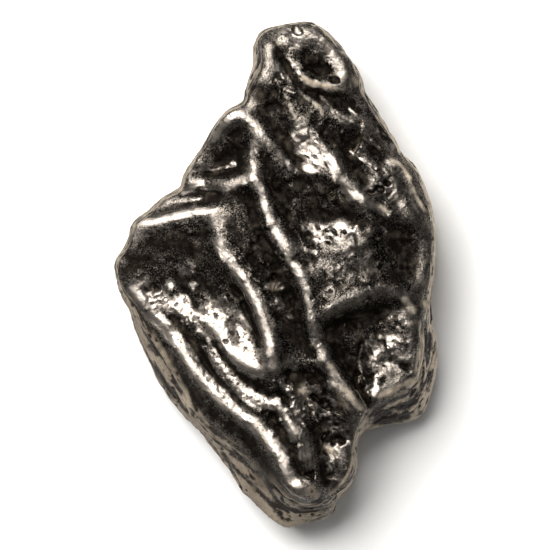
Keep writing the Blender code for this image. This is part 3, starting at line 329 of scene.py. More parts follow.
# The right block, a squarish knob with a hollow above it and a bare wall under its lower edge.
RIGHT_BLOCK = {
    "hollow_rim": [
        (4.6, -4.4, 12.9), (5.2, -3.8, 13), (6.2, -3.3, 13), (7, -2.9, 12.95), (8, -2.6, 12.9),
        (9, -2, 12.7), (10, -1.7, 12.45), (11.3, -1.5, 12.15), (12.2, -1.8, 12),
    ],
    "hollow_floor": [
        (5.4, -5.4, 11.3), (6.6, -4.8, 11), (8, -4.6, 10.8), (9.6, -4.2, 10.6), (11, -3.6, 10.7),
    ],
    "top_rim": [(12.2, -1.8, 11.6), (13.6, -2.4, 11.5), (14.6, -3.2, 11.2)],
    "right_rim": [
        (14.6, -3.2, 11.2), (14.2, -5, 11.1), (14.3, -7.1, 11), (14.2, -8.6, 10.9), (14, -9.8, 10.8),
        (13.9, -10.5, 10.6),
    ],
    "lower_rim": [
        (13.9, -10.5, 10.6), (12.5, -11.1, 10.9), (11.5, -11.6, 11.1), (10.4, -12.2, 11.2),
        (9.6, -12.8, 11.1),
    ],
    "lower_edge": [
        (13.3, -11.9, 9.8), (12.4, -12.2, 9.9), (11.4, -12.6, 10), (10.4, -13.2, 10.2),
        (9.4, -13.9, 10.3), (8.9, -14.9, 10),
    ],
    "left_side": [(8.4, -6.8, 10.4), (8.8, -8.7, 10.4), (9.2, -10.4, 10.6)],
    "patch": [(10.2, -5.9, 10.5), (11.4, -7.2, 10.9), (12.4, -7, 11.1)],
    "face": [(10.6, -8.6, 10.6), (11, -9.8, 10.7), (12.2, -9.8, 10.7)],
    "shelf": [(12.6, -3.8, 11.2), (13.2, -5.2, 11.35)],
}

# The right side: a high saddle, a deep thumbprint beside it and a rough table over the outer wall.
RIGHT_SIDE = {
    "saddle": [(5.2, 1, 12.5), (6.4, 0.2, 12.55), (7.8, -0.6, 12.55), (9.2, -1, 12.4)],
    "print_left": [
        (10.3, 5.8, 12.1), (9.6, 4.7, 12.3), (9.2, 3.4, 12.3), (9.3, 1.6, 12.2), (9.5, 0.4, 12.1),
        (10.3, -0.2, 12), (11.5, -0.9, 11.8), (12.3, -1.5, 11.7),
    ],
    "print_floor": [(11.8, 4.2, 11.1), (12.5, 2.8, 10.5), (13.2, 1.2, 10.4), (13.2, 0, 10.6)],
    "print_top": [
        (10.3, 5.8, 12.1), (12.5, 5.7, 11.9), (13.7, 5.6, 11.6), (14.5, 5.2, 11.2), (15.2, 4.4, 10.8),
    ],
    "print_right": [(15.3, 3, 10.6), (15.2, 1.4, 10.6), (15, 0, 10.7), (14.9, -1.4, 10.8)],
    "table": [(9.9, 9.6, 11.9), (11.2, 9.8, 11.8), (12, 8.6, 11.7), (11.4, 7.2, 11.8)],
    "outer_ridge": [
        (11.5, 11.4, 11.4), (12.2, 11.1, 11.4), (12.8, 10.4, 11.5), (13.4, 9.2, 11.5), (14, 7.8, 11.4),
        (14.8, 6.4, 11.1),
    ],
    "outer_groove": [(13.8, 9.8, 10.9), (14.5, 8, 10.8), (15, 6.8, 10.7)],
}

# The upper middle: a long ridge with a rough slope, a round thumbprint and the channel on its left.
UPPER_MIDDLE = {
    "ridge": [
        (0.9, 17.9, 11.7), (1.3, 17.1, 11.8), (1.6, 16.2, 11.85), (2.1, 15.3, 11.95), (2.8, 14.6, 12.05),
        (3.7, 13.8, 12), (4.5, 13.2, 12.05), (5.2, 12.4, 12.2), (5.9, 11.5, 12.4), (6.5, 10.2, 12.75),
        (7.3, 8.7, 13.15), (7.9, 7.9, 13.25), (8.6, 7.2, 13.1), (9.3, 6.6, 12.8),
    ],
    "slope_edge": [(2.2, 10.2, 11.9), (3.2, 10, 12.15), (4.2, 10.3, 12.25), (5, 11.2, 12.25)],
    "ridge_side": [
        (4.9, 11.9, 12.2), (5.5, 11.2, 12.4), (6.1, 10, 12.72), (6.9, 8.5, 13.1), (7.5, 7.7, 13.2),
    ],
    "channel": [
        (-2.2, 16.4, 11.6), (-0.9, 15.4, 11.6), (0.3, 14, 11.5), (1.2, 12.4, 11.4), (1.9, 11.2, 11.4),
        (2.6, 9.4, 11.4), (2.6, 7.6, 11.4),
    ],
    "side_facet": [
        (-1.2, 11.8, 11.6), (-0.4, 9.8, 11.6), (0.3, 7.6, 11.6), (1.2, 5.6, 11.7), (2.2, 4.2, 12),
    ],
    "print_top": [(3.4, 9.2, 11.9), (4.8, 9.2, 12), (6.2, 9.2, 12.1), (7.4, 7.6, 12.3)],
    "print_floor": [(3.4, 6.6, 11), (4.9, 5.8, 11.1), (6.4, 5.9, 11.3), (7.6, 5.9, 11.7)],
    "print_low": [(3, 4.8, 11.5), (4.6, 4.4, 11.7), (6.4, 4.2, 11.9), (8, 4.6, 12.1)],
    "print_rim": [
        (3.2, 3.5, 11.9), (4.2, 2.9, 12.2), (5.5, 2.6, 12.5), (7.3, 2.6, 12.6), (8.6, 3.2, 12.5),
    ],
}

# The top lobe: a dished knob at the upper end, with folds running down from it to the right.
TOP_LOBE = {
    "left_rim": [
        (-1.7, 23.7, 10.9), (-1.2, 22, 11.4), (-1.3, 20.7, 11.5), (-1.7, 19.9, 11.6), (-2.1, 18.8, 11.6),
        (-2.4, 17.8, 11.5),
    ],
    "left_fold": [(-0.7, 21.4, 11.4), (0.1, 20.8, 11.4), (0.6, 20.1, 11.4), (1.3, 19.3, 11.4)],
    "cleft": [(-0.2, 23.2, 11), (0.2, 22.2, 10.9), (0.7, 21.2, 10.9), (1.1, 20.2, 10.9), (1.4, 19.4, 11)],
    "rim": [
        (0.6, 24.6, 11.5), (1.8, 24.8, 11.5), (3, 24.6, 11.6), (3.7, 24.1, 11.7), (4.5, 23.6, 11.8),
        (5.4, 22.8, 11.9), (6.1, 21.8, 12), (6.6, 20.8, 12), (6.9, 19.9, 12), (7, 19, 11.9),
    ],
    "dish_edge": [
        (1.1, 21.8, 11.3), (1.5, 21.2, 11.4), (2.1, 20.4, 11.5), (2.5, 19.8, 11.6), (3, 19.4, 11.7),
        (3.7, 19.1, 11.8), (4.5, 18.9, 11.9), (5.5, 18.7, 11.9), (6.7, 18.7, 11.9),
    ],
    "dish_floor": [(2.6, 23, 11.4), (3, 21.6, 11), (3.8, 20.6, 10.8), (4.8, 19.9, 11)],
    "dish_side": [(4.6, 22, 11.3), (5.5, 21, 11.4), (6, 20, 11.5)],
    "first_hollow": [(2.8, 18.2, 11.3), (4.5, 17.8, 11.1), (6.3, 17.2, 11), (7.9, 16.8, 10.9)],
    "neck": [(-1.6, 17.2, 11.6), (-0.4, 18.2, 11.55), (0.4, 17.6, 11.6), (1.2, 18.6, 11.5)],
    "first_fold": [
        (2.2, 18.3, 11.5), (3, 17.7, 11.6), (3.7, 17.2, 11.7), (4.3, 16.6, 11.8), (4.6, 15.9, 11.8),
    ],
    "second_fold": [
        (4.5, 17.6, 11.4), (5, 17.1, 11.6), (5.5, 16.6, 11.7), (6.1, 16.1, 11.8), (7, 15.5, 11.8),
        (8, 15.3, 11.7), (8.5, 15.4, 11.6), (9, 14.8, 11.5), (9.9, 14.2, 11.2),
    ],
    "trough": [
        (3.7, 15.1, 11.7), (5, 14.2, 11.6), (6.4, 13.2, 11.5), (7.2, 11.8, 11.5), (8.2, 10.2, 11.5),
        (9, 9, 11.7),
    ],
    "third_fold": [(7.4, 12.4, 11.7), (8.2, 11.8, 11.9), (9, 11.2, 12), (9.9, 10.6, 12)],
    "third_hollow": [(8.6, 13.6, 11.1), (9.8, 12.4, 11.1), (10.8, 11.8, 11.1)],
    "outer_rim": [(8.6, 17.2, 10.9), (9.5, 15.8, 10.9), (10.7, 13.9, 10.9), (11.6, 12.6, 10.9)],
}

WIRE_GROUPS = [LEFT_PLATE, SHOULDER, SPINE, LOWER_LOBE, RIGHT_BLOCK, RIGHT_SIDE, UPPER_MIDDLE, TOP_LOBE]

# The underside, as heights over its even curl: what falls under the resting plane is worn flat.
UNDERSIDE = {
    "resting_patch": [
        (-6.5, 2.5, -0.5), (-4.5, 5, -0.6), (-1, 6, -0.5), (3, 4.8, -0.5), (5.5, 1, -0.6),
        (5, -3.5, -0.5), (2, -7, -0.6), (-2, -7.5, -0.5), (-5.5, -4, -0.5), (-6.5, 2.5, -0.5),
    ],
    "patch_middle": [(-3.5, 2, -0.5), (-1, 0.5, -0.6), (2, -2, -0.5)],
    "resting_toe": [(-3.5, -13, -0.2), (-1, -14.5, -0.3), (1, -15.5, -0.2)],
    "upper_rest": [(2.5, 13.5, 0.1), (4, 11.5, -0.1), (5.5, 9.5, 0)],
    "top_print": [(0.8, 15.5, 1.5), (2.8, 17.5, 1.9), (4.3, 19.5, 1.6)],
    "shoulder_print": [(-4.5, 8.8, 1.4), (-2.6, 10.8, 1.7), (-0.5, 12, 1.3)],
    "left_print": [(-11, 2, 1.2), (-10, -1.5, 1.7), (-8.2, -4.5, 1.2)],
    "left_fold": [(-12, -4.5, 0.3), (-9.5, -7.5, 0.1), (-6.5, -10.5, 0)],
    "long_print": [(-8, -9, 1), (-5, -10.5, 1.4), (-0.5, -10.8, 1.2), (3, -10.5, 0.9)],
    "right_print": [(8.5, 6, 1.4), (10.3, 2.5, 1.9), (10, -1, 1.3)],
    "right_fold": [(7, -3.5, 0.2), (9.5, -5, 0.1), (12, -6, 0.4)],
    "block_print": [(7, -8.5, 1.1), (9.8, -9.5, 1.5), (12, -10, 1.1)],
    "lobe_print": [(3, -16.5, 1), (4, -18.5, 1.4), (3, -20.5, 1)],
    "upper_fold": [(7.5, 13, 0.3), (9.5, 10, 0.2), (11, 7.5, 0.4)],
}

# Thin ridges, and grooves where the height is negative: height, half width and the line.
STROKES = [
    (0.3, 0.28, SHOULDER["right_ridge"]),
    (0.25, 0.25, SHOULDER["rib"]),
    (0.35, 0.3, RIGHT_BLOCK["hollow_rim"]),
    (0.3, 0.3, RIGHT_BLOCK["top_rim"]),
    (-0.35, 0.35, [(12.9, -2.9), (13.6, -3.6), (13.8, -4.6)]),
    (0.25, 0.25, RIGHT_SIDE["outer_ridge"]),
    (0.25, 0.22, [(12.7, 7.6), (13.3, 6.7), (13.8, 5.9), (14.5, 5.2), (15.1, 4.4), (15.5, 3.8)]),
    (0.22, 0.25, [(12.5, 5.6), (13.7, 5.6), (14.5, 5.2)]),
    (-0.25, 0.3, [(12, 10.6), (12.8, 9.2), (13.6, 7.6), (14.4, 6.2)]),
    (0.25, 0.22, TOP_LOBE["left_fold"]),
    (0.22, 0.2, TOP_LOBE["dish_edge"][:4]),
    (0.25, 0.22, TOP_LOBE["first_fold"]),
    (0.25, 0.22, TOP_LOBE["second_fold"][:7]),
    (0.25, 0.2, TOP_LOBE["third_fold"]),
    (0.2, 0.2, [(8.9, 13.6), (9.4, 12.8)]),
    (0.3, 0.25, UPPER_MIDDLE["ridge"][7:]),
    (0.22, 0.22, SPINE["spur"]),
    (0.2, 0.2, [(3.4, 0.9), (4.2, 0.4), (4.4, -0.3)]),
    (0.3, 0.25, [(4.7, -15.8), (5.4, -15.6), (6.2, -15.5), (6.9, -16), (7.1, -16.8)]),
    (-0.3, 0.6, [(6, -16.2), (6.4, -16.6)]),
    (0.25, 0.25, [(5.5, -18.6), (6.2, -19.2), (7, -20.1)]),
    (0.22, 0.22, [(5.5, -20.4), (6.5, -20.6), (7.4, -19.8), (7.7, -19.2)]),
    (0.2, 0.2, [(3.5, -12.9), (3.9, -14), (4.3, -15.4)]),
    (0.3, 0.4, [(1.8, -11.6), (2.6, -12.2), (2.4, -12.9), (1.9, -12.4)]),
    (0.25, 0.3, [(6.2, -13.4), (6.8, -13.3)]),
    (-0.25, 0.25, [(-10, 0.2), (-9.5, -1.1), (-8.5, -2.4), (-7.5, -3.6), (-6.8, -4.2)]),
    (-0.25, 0.25, [(-11.5, -0.4), (-10.8, -1.6), (-10.2, -2.6)]),
    (0.3, 0.35, [(-9.2, 1.2), (-8.6, 0.4), (-8.2, -0.6), (-7.8, -1.4)]),
    (-0.25, 0.3, [(-8.3, 4), (-7.5, 3.9), (-6.9, 3.4)]),
    (-0.3, 0.25, [(-4.8, -4.6), (-4.3, -5.8), (-4, -7.2)]),
    (-0.2, 0.2, [(-3.6, -5), (-2.6, -6.2), (-2, -7.4)]),
    (0.25, 0.3, [(-6.2, -4.2), (-5.4, -5.6), (-4.9, -7)]),
    (-0.3, 0.2, [(-10, 8.1), (-8, 8.25), (-6.5, 8.2), (-5.2, 7.9)]),
    (0.2, 0.2, [(-4.4, 10.7), (-4.1, 11.1), (-3.9, 10.6)]),
    (-0.35, 0.3, LEFT_PLATE["ridge_foot"][1:7]),
    (-0.3, 0.28, [(-13.4, -4), (-12.4, -4.4), (-11.4, -5.6), (-10.4, -6.9)]),
    (0.25, 0.3, [(-8.5, 4.1), (-7.8, 4), (-7, 3.4), (-6.6, 2.6)]),
    (0.25, 0.25, [(-4, 4.6), (-3.4, 4.2), (-2.8, 4.4)]),
    (0.3, 0.3, [(-0.6, -1), (0.4, -1.3), (1.4, -1.5)]),
    (-0.3, 0.3, [(-0.7, -1.6), (0.6, -2), (1.6, -2.1)]),
    (0.25, 0.25, [(0, -2.8), (0.8, -3.2), (1.6, -3.3)]),
    (0.25, 0.3, [(1.2, -8), (1.7, -8.8), (1.4, -9.4)]),
    (0.25, 0.25, [(2.6, -8.3), (3.2, -8.7), (4, -8.6)]),
    (0.2, 0.2, [(12.9, -0.4), (13.5, 0.2)]),
    (0.2, 0.2, [(15.3, -0.2), (14.7, -1.1)]),
    (0.2, 0.2, [(10.5, 4.8), (11.1, 4.3)]),
    (0.25, 0.25, [(12.7, -8.8), (13.4, -8.2), (13.6, -7.6), (13.7, -9.6)]),
    (0.2, 0.2, [(11, -13.9), (12, -13.3), (13, -12.8), (14, -12.6)]),
    (0.3, 0.3, [(8.8, -11.4), (9.6, -12.4), (9.9, -11.6), (10.4, -10.6)]),
    (0.25, 0.25, [(3.4, -6), (4.1, -7), (4.8, -8.2)]),
    (0.25, 0.2, [(2.3, 10.2), (3.4, 10.1), (4.6, 10.3)]),
    (0.25, 0.25, [(7.4, -1.2), (8.4, -1.4)]),
]

# Single pits: place, radius and depth.
PITS = [
    (-15.1, 2.2, 0.3, 0.3), (0.6, 1.8, 0.35, 0.4), (1.1, 0.7, 0.25, 0.3), (2.1, 24.3, 0.5, 0.25),
    (5.9, 19.4, 0.5, 0.4), (-2.1, 22.6, 0.25, 0.3), (-2.1, 21.4, 0.25, 0.3), (10.3, 8.5, 0.5, 0.5),
    (11.1, 9.1, 0.5, 0.5), (9.4, 8.2, 0.35, 0.4), (5.8, 4.3, 0.4, 0.35), (4.3, 4.6, 0.3, 0.3),
    (5.9, 4, 0.3, 0.3), (6.8, 4.3, 0.25, 0.3), (5, 4.4, 0.25, 0.3), (5.2, 3.2, 0.25, 0.3),
    (9.3, -2.4, 0.45, 0.4), (3.1, -20.1, 0.55, 0.5), (-0.1, -14.3, 0.35, 0.4), (0.1, -15.2, 0.3, 0.35),
    (0.8, -15.6, 0.3, 0.35), (-0.4, -13.9, 0.3, 0.3), (6.3, -16.4, 0.9, 0.35), (13, -9.3, 0.8, 0.3),
    (-4.5, -5.8, 0.2, 0.2), (-5, -6.8, 0.2, 0.2), (-3, -7.4, 0.2, 0.2), (-6, -4, 0.2, 0.2),
]

# Places that are rougher or smoother than the rest: place, radius and how much.
ROUGH = [
    (-4, -6.4, 3, 0.2), (-12, -2.1, 2, 0.5), (-9, -3.6, 2.6, 0.5), (-5, -9.6, 2, 0.2),
    (3.4, 12.1, 2, 0.2), (5.8, 4.2, 2.4, 0.15), (11.5, -7.1, 3, 0.5), (5.5, -16.6, 4.5, 1.2),
    (2, -12.6, 3, 1.2), (12, 8.4, 2.6, 0.4), (0.7, 24.1, 1.5, 0.8), (4.5, 20.4, 2.5, 0.8),
    (0, 17.9, 2, 1), (8, 0, 4, 0), (-1, 0.4, 3, 0.9), (-8.5, 2.5, 4, -0.25), (9, 13, 4, 0.8),
    (-4.5, 11.5, 2.5, 0.4), (1, 7, 3, 0.5), (7, -10, 3, 0.9),
]

# Crests and edges that are brushed bright: share of bare metal, half width and path.
BRUSHED_LINES = [
    (1, 0.5, LEFT_PLATE["top_rim"][1:]),
    (0.9, 0.4, [(-14.4, 3.9), (-13.9, 4.9)]),
    (1, 0.5, LEFT_PLATE["right_ridge"][2:15]),
    (1, 0.72, LEFT_PLATE["left_rim"]),
    (1, 0.65, LEFT_PLATE["band"][5:]),
    (0.9, 0.4, LEFT_PLATE["toe_crest"]),
    (1, 1.45, [(-6.2, -3.8), (-4.9, -5.4), (-3.6, -7.2), (-2.2, -8.6)]),
    (0.95, 0.75, [(-4.5, -3.7), (-3.5, -5.2), (-2.7, -6.8), (-1.9, -8.2)]),
    (0.85, 0.75, [(-11.9, -2.1), (-9.6, -3.4), (-7.6, -4.9), (-6, -6.6)]),
    (1, 0.8, LEFT_PLATE["plate_low"]),
    (1, 0.35, [(-9.5, -2.6), (-7.5, -5), (-5.5, -7.3)]),
    (0.8, 0.28, [(2.6, -15.6), (3.1, -17.2), (3.4, -18.9)]),
    (1, 0.14, [(2.4, -17.4), (2.4, -18.4)]),
    (0.5, 0.45, [(0.6, -10.6), (1.4, -12.2), (2.2, -14), (2.7, -16)]),
    (0.85, 0.32, SPINE["crest"][:11]),
    (0.75, 0.4, SPINE["crest"][10:21]),
    (0.9, 0.42, SPINE["crest"][19:]),
    (0.75, 0.3, [(-1, -1.1), (0.5, -1.2)]),
    (1, 0.48, [(-4, 16.7), (-4.7, 15.7), (-5.7, 14.5), (-6.4, 13.6)]),
    (0.7, 0.28, SHOULDER["right_ridge"]),
    (0.8, 0.2, [(-2.4, 12.6), (-2.3, 11.1)]),
    (0.45, 0.25, SHOULDER["rib"]),
    (1, 0.2, [(-8.4, 11.1), (-8.8, 9.8)]),
    (0.9, 0.12, SHOULDER["foot_lip"]),
    (1, 0.28, [(-9.3, 8.2), (-8.5, 8.7), (-7.5, 9.2)]),
    (0.6, 0.32, SHOULDER["lip_edge"][1:]),
    (1, 0.12, [(-9, 7.3), (-7.5, 7.6)]),
    (0.6, 0.25, [(-11.6, 7.3), (-10, 7.8)]),
    (1, 0.22, [(-1.3, 22.5), (-1.1, 21.2)]),
    (0.5, 0.32, TOP_LOBE["left_fold"]),
    (0.6, 0.22, [(-1.9, 20), (-2.1, 19.4)]),
    (1, 0.15, TOP_LOBE["dish_edge"][:4]),
    (0.7, 0.32, TOP_LOBE["dish_edge"][3:]),
    (0.9, 0.25, [(2.5, 25), (3.7, 24.3), (4.5, 23.6)]),
    (0.45, 0.35, TOP_LOBE["rim"][4:]),
    (0.9, 0.15, [(0.9, 19.7), (1.5, 19.2)]),
    (0.9, 0.12, [(0.8, 18.5), (1.7, 18.2)]),
    (0.6, 0.15, UPPER_MIDDLE["ridge"][:4]),
    (0.55, 0.16, TOP_LOBE["first_fold"]),
    (0.9, 0.18, [(4.5, 17.7), (5, 17.2)]),
    (0.7, 0.12, TOP_LOBE["second_fold"][1:7]),
    (0.9, 0.12, [(7.3, 16.5), (8, 15.8)]),
    (0.9, 0.15, [(9, 15), (10, 14.3)]),
    (0.7, 0.12, [(9.3, 13.5), (10.2, 12.7)]),
    (1, 0.15, TOP_LOBE["third_fold"]),
    (0.35, 0.7, [(2, 15.4), (3.4, 13.8), (4.6, 12.6)]),
    (1, 0.45, UPPER_MIDDLE["ridge_side"]),
    (0.6, 0.5, [(8, 8), (9.5, 7), (11, 6.2)]),
    (0.8, 0.18, RIGHT_SIDE["outer_ridge"]),
    (0.7, 0.12, [(13.2, 8.4), (14, 6.6), (14.8, 5.4)]),
    (1, 0.45, UPPER_MIDDLE["print_low"]),
    (0.2, 1.2, [(3.8, 1), (6, 0.6), (8.5, 0.4)]),
    (0.3, 1, [(7, 3.6), (8.6, 2.6), (9, 0.8)]),
    (0.4, 1.3, [(9.4, 9), (11.4, 8.6), (12.2, 7.2)]),
    (0.9, 0.2, SPINE["spur"][2:]),
    (0.8, 0.1, [(10.5, 4.8), (11, 4.3)]),
    (0.5, 0.12, [(14.3, 2), (14.6, 0.8)]),
    (0.6, 0.15, [(15.4, 1.3), (15, -0.5), (14.5, -1.3)]),
    (0.6, 0.25, RIGHT_BLOCK["hollow_rim"][1:6]),
    (0.5, 0.35, RIGHT_BLOCK["hollow_rim"][5:]),
    (1, 0.38, [(12.5, -2.1), (13.3, -2.9), (13.7, -3.5)]),
    (1, 0.32, [(10.5, -6.2), (12.2, -6.2)]),
    (0.9, 0.15, [(11.3, -4.3), (11.8, -3.7)]),
    (0.7, 0.16, [(8.5, -7), (8.3, -8.5), (8.7, -10.3), (9.1, -11.7)]),
    (0.8, 0.16, [(9, -6.7), (9.6, -7.4)]),
    (1, 0.38, [(9.7, -11.8), (10, -10.6), (10.4, -9.8)]),
    (0.75, 0.42, RIGHT_BLOCK["lower_rim"][:4]),
    (0.9, 0.26, RIGHT_BLOCK["right_rim"][2:]),
    (1, 0.15, [(13.7, -7.5), (13.6, -9)]),
    (0.8, 0.12, [(13.1, -8.3), (12.5, -9.5)]),
    (0.42, 1.4, [(9.8, -7.6), (11, -9.2), (12, -8.2)]),
    (0.35, 0.6, [(12.8, -4.6), (13.6, -5.4)]),
    (0.9, 0.1, RIGHT_BLOCK["lower_edge"]),
    (0.9, 0.1, LOWER_LOBE["rim"][2:]),
    (0.5, 0.16, [(4.6, -16.4), (5.5, -15.4), (6.4, -15.1)]),
    (0.9, 0.2, [(7.1, -16.2), (7.3, -17), (6.9, -18)]),
    (0.7, 0.15, [(4.7, -18.5), (6, -19.5), (7, -20.3)]),
    (0.8, 0.12, [(5.2, -20.3), (7, -20.5)]),
    (0.7, 0.15, [(7.5, -19.5), (7.8, -18)]),
]

# Patches that are brushed bright: share, place and radius.
BRUSHED_SPOTS = [
    (0.6, -6, 5.3, 0.9), (0.8, -13.3, -0.7, 0.7), (0.9, -10.7, -1, 0.5), (0.5, -9, 0.5, 0.8),
    (0.8, -8.3, -1.1, 0.4), (0.9, -12.2, -2.4, 1.1), (1, -9.1, -2.8, 0.8), (0.7, -10.5, -3.6, 0.6),
    (0.8, 0.8, 24.5, 0.5), (0.5, 5.4, 22.4, 0.8), (0.9, 5.8, 21.3, 0.5), (1, 6.6, 20.1, 0.6),
    (0.6, 7.8, 19.4, 0.5), (0.7, 10.9, 14.7, 0.2), (0.9, 11.6, 12.8, 0.35), (0.7, 13.1, 10, 0.35),
    (0.8, 15.1, 7.6, 0.25), (0.8, 10.5, 6.7, 0.4), (1, 3.2, 12.6, 1.2), (0.9, 3.7, 11.2, 1.1),
    (0.7, 2.2, 13.9, 0.7), (1, 6.4, 4.2, 1.2), (0.9, 4.4, 3.9, 0.9), (0.7, 7.3, 2.2, 0.5),
    (0.9, 12, -1.7, 0.3), (0.9, 14.9, -3.1, 0.35), (1, 11.6, -6.7, 0.7), (0.9, 13.2, -6.9, 0.5),
    (0.6, 12.3, -5.3, 0.4), (0.9, 9.2, -11.4, 0.35), (0.75, 3.5, -21.5, 0.8), (0.6, 5.3, -17.5, 0.7),
    (0.5, 1.5, -9.2, 0.8), (0.6, 2.5, -11.5, 0.8), (0.9, 5.5, -10.9, 0.5), (0.9, 6.9, -13.3, 0.5),
    (0.9, 7.2, -15.2, 0.25), (0.9, -4.3, 11, 0.3), (1, -5.2, 8.5, 0.45), (0.5, 0.3, -2.9, 0.6),
    (0.3, 5.2, -1.6, 0.7), (0.8, 13.1, -3.7, 0.8), (0.5, -0.6, 3.4, 0.6), (0.6, 1.4, -4.2, 0.3),
    (0.5, 5.5, -13.5, 1.6), (0.5, 6, -18, 1.8), (0.5, 3.2, -12.4, 1.6), (0.5, 0.2, -14.4, 0.8),
    (0.3, 8.6, 12.4, 1), (0.3, 7, 15, 0.8), (0.3, 2.2, 20.8, 0.5), (0.4, 2, 23.6, 1.2),
]

# Hollows and slopes painted dark: their soil, and painted shade on the shadowed wall under the right
# block: share, half width and path.
SOILED_AND_SHADED = [
    (0.9, 0.75, [
        (-12.4, -5.8), (-10.6, -8.4), (-9, -10.8), (-7.4, -12.8), (-5, -14.9), (-3, -16.4), (-1.4, -18.6),
        (0.3, -21), (2.2, -22.9), (4.4, -23.1),
    ]),
    (0.8, 0.45, LEFT_PLATE["rim_groove"]),
    (0.8, 0.25, LEFT_PLATE["under_plate"]),
    (0.7, 0.3, LEFT_PLATE["ridge_foot"][4:]),
    (0.8, 1.3, [(-14.4, 1), (-12.6, 2.8), (-10.4, 3.2), (-8.4, 2.6)]),
    (0.8, 0.7, [(9.2, 16.7), (10.4, 14.7), (11.8, 12.9)]),
    (0.9, 0.8, [(-2, 21), (-2.5, 18.6)]),
    (0.7, 1.1, [(-15, 3.2), (-15, 0.4)]),
    (0.8, 1, [(-2, 18.6), (-1, 17.6), (0.6, 16.4), (0.4, 14.4), (0.6, 12.4)]),
    (0.7, 1.2, [(4, 7.6), (6, 8.2), (8, 7)]),
    (0.85, 1, TOP_LOBE["first_hollow"]),
    (0.7, 0.6, [(9.4, 14), (11, 12.2)]),
    (0.8, 0.6, TOP_LOBE["trough"][1:]),
    (0.8, 1.4, [(12.8, 3.4), (13.2, 1.4), (12.2, 0)]),
    (0.8, 1.1, RIGHT_BLOCK["hollow_floor"]),
    (0.7, 0.6, SPINE["trench"][1:]),
    (0.6, 0.7, [(2.2, 22.2), (3.4, 21.2), (4.6, 20.2), (5.8, 19.6)]),
    (0.8, 0.25, TOP_LOBE["cleft"][:4]),
    (0.7, 0.9, [(-6.6, 11.6), (-5, 12.6), (-4, 13.2)]),
    (0.7, 0.35, [(-8.6, 10), (-6, 10), (-3.6, 10.4)]),
    (0.8, 0.3, SHOULDER["split"]),
    (0.8, 0.3, SHOULDER["rim_groove"]),
    # Painted shade: this mark darkens the wall under the right block's lower edge, which lies in shadow.
    (0.8, 0.5, [(9.5, -14.6), (11.2, -13.9), (13, -13.1)]),
    (0.7, 0.5, [(12.7, -8.9), (13, -9.5)]),
    (0.7, 0.35, SPINE["right_channel"]),
    (0.7, 0.3, LOWER_LOBE["channel"]),
]

# Dark furrows in the walls, stains, and painted shade on the shadowed wall under the right block: share,
# half width and path.
STAINS_AND_SHADE = [
    (1, 0.22, [(-6.7, -15.3), (-5.3, -16.3), (-3.5, -17.5), (-2, -18.5)]),
    (1, 0.2, [(-5.3, -18), (-4.3, -19.3), (-2.5, -21), (-1, -22.5), (0.5, -24)]),
    (1, 0.16, [(-4.5, -18), (-3, -19), (-1.3, -20.5), (0, -22.5), (1.2, -23.8)]),
    (0.9, 0.12, [(-3.6, -19.9), (-2, -21.4), (-0.5, -23.2), (0.8, -24.6)]),
    (0.8, 0.14, [(-6.4, -16.4), (-5, -17.4), (-3.2, -18.4), (-1.6, -19.6), (-0.4, -21.4)]),
    (0.7, 0.12, [(-8.6, -13.4), (-7.2, -14.9), (-5.8, -15.8)]),
    (0.7, 0.14, [(-13.4, -4.8), (-12.6, -6.6), (-11.4, -8.4)]),
    (0.8, 0.3, [(-12.6, -7), (-11.9, -7.9)]),
    (0.8, 0.1, [(-12.2, -8.8), (-11, -10.8), (-9.8, -12.2)]),
    (0.8, 0.2, [(-10.4, -10.6), (-9.4, -11.9)]),
    # Painted shade: these three marks darken the shadowed wall under the right block's lower edge.
    (1, 0.5, [(9.6, -14.7), (11, -14.6), (13, -14.1)]),
    (1, 0.45, [(12.2, -13.6), (13.8, -12.7)]),
    (0.9, 0.45, [(9.5, -14.2), (11, -13.8), (12.6, -13.2)]),
    (0.9, 0.3, [(15.3, -6), (15.5, -7.4)]),
    (0.8, 0.25, [(15.5, -9.8), (15.2, -11.6)]),
    (0.8, 0.2, [(14.9, -4.6), (15.1, -8.6)]),
    (0.8, 0.15, [(14.8, -9.4), (14.4, -12.2)]),
    (0.6, 0.12, [(3.2, -24.3), (4.6, -24), (5.4, -23.2)]),
]

# Edges and chips painted pale: dust, and painted light on edges that catch the lamp: share, half width and
# path.
DUST_AND_LIT_EDGES = [
    # Painted highlight: the lit lower edges of the right block and the lower lobe, painted pale like dust.
    (0.9, 0.13, RIGHT_BLOCK["lower_edge"]),
    (0.9, 0.12, LOWER_LOBE["rim"][2:]),
    (0.9, 0.16, [(11, -13.9), (12.4, -13.2), (13.6, -12.6)]),
    (0.6, 0.25, TOP_LOBE["dish_edge"][3:]),
    (0.5, 0.12, UPPER_MIDDLE["ridge"][:4]),
    (0.5, 0.14, TOP_LOBE["first_fold"][2:]),
    (0.6, 0.5, [(3.3, -21.2), (3.8, -21.9)]),
    (0.5, 0.3, [(4.9, -17.2), (5.9, -17.9)]),
    (0.6, 0.2, [(12.9, 10.3), (13.4, 9.6)]),
    (0.5, 0.3, [(10.3, 6.8), (10.9, 6.5)]),
    (0.8, 0.3, [(15.9, 5), (16, 2.6), (15.8, 0.4), (15.4, -2.2)]),
    (0.6, 0.16, RIGHT_SIDE["outer_ridge"]),
    (0.5, 0.35, [(7.6, 19.6), (8, 19.1)]),
    (0.4, 0.5, [(2.2, -11.4), (2.9, -11.7)]),
    (0.55, 0.35, RIGHT_BLOCK["lower_rim"][:4]),
    (0.5, 0.25, RIGHT_BLOCK["right_rim"][2:5]),
    (0.5, 0.3, SPINE["crest"][19:]),
    (0.4, 0.35, [(12.8, -2.6), (13.6, -3.5)]),
    (0.5, 0.3, [(14.8, -2.9), (15.1, -3.3)]),
    (0.3, 0.5, [(-0.4, -1.2), (0.2, -1.2)]),
    (0.35, 0.4, [(5.8, -10.9), (6.8, -13.2)]),
    (0.3, 0.4, [(3.6, -22), (3, -21)]),
]

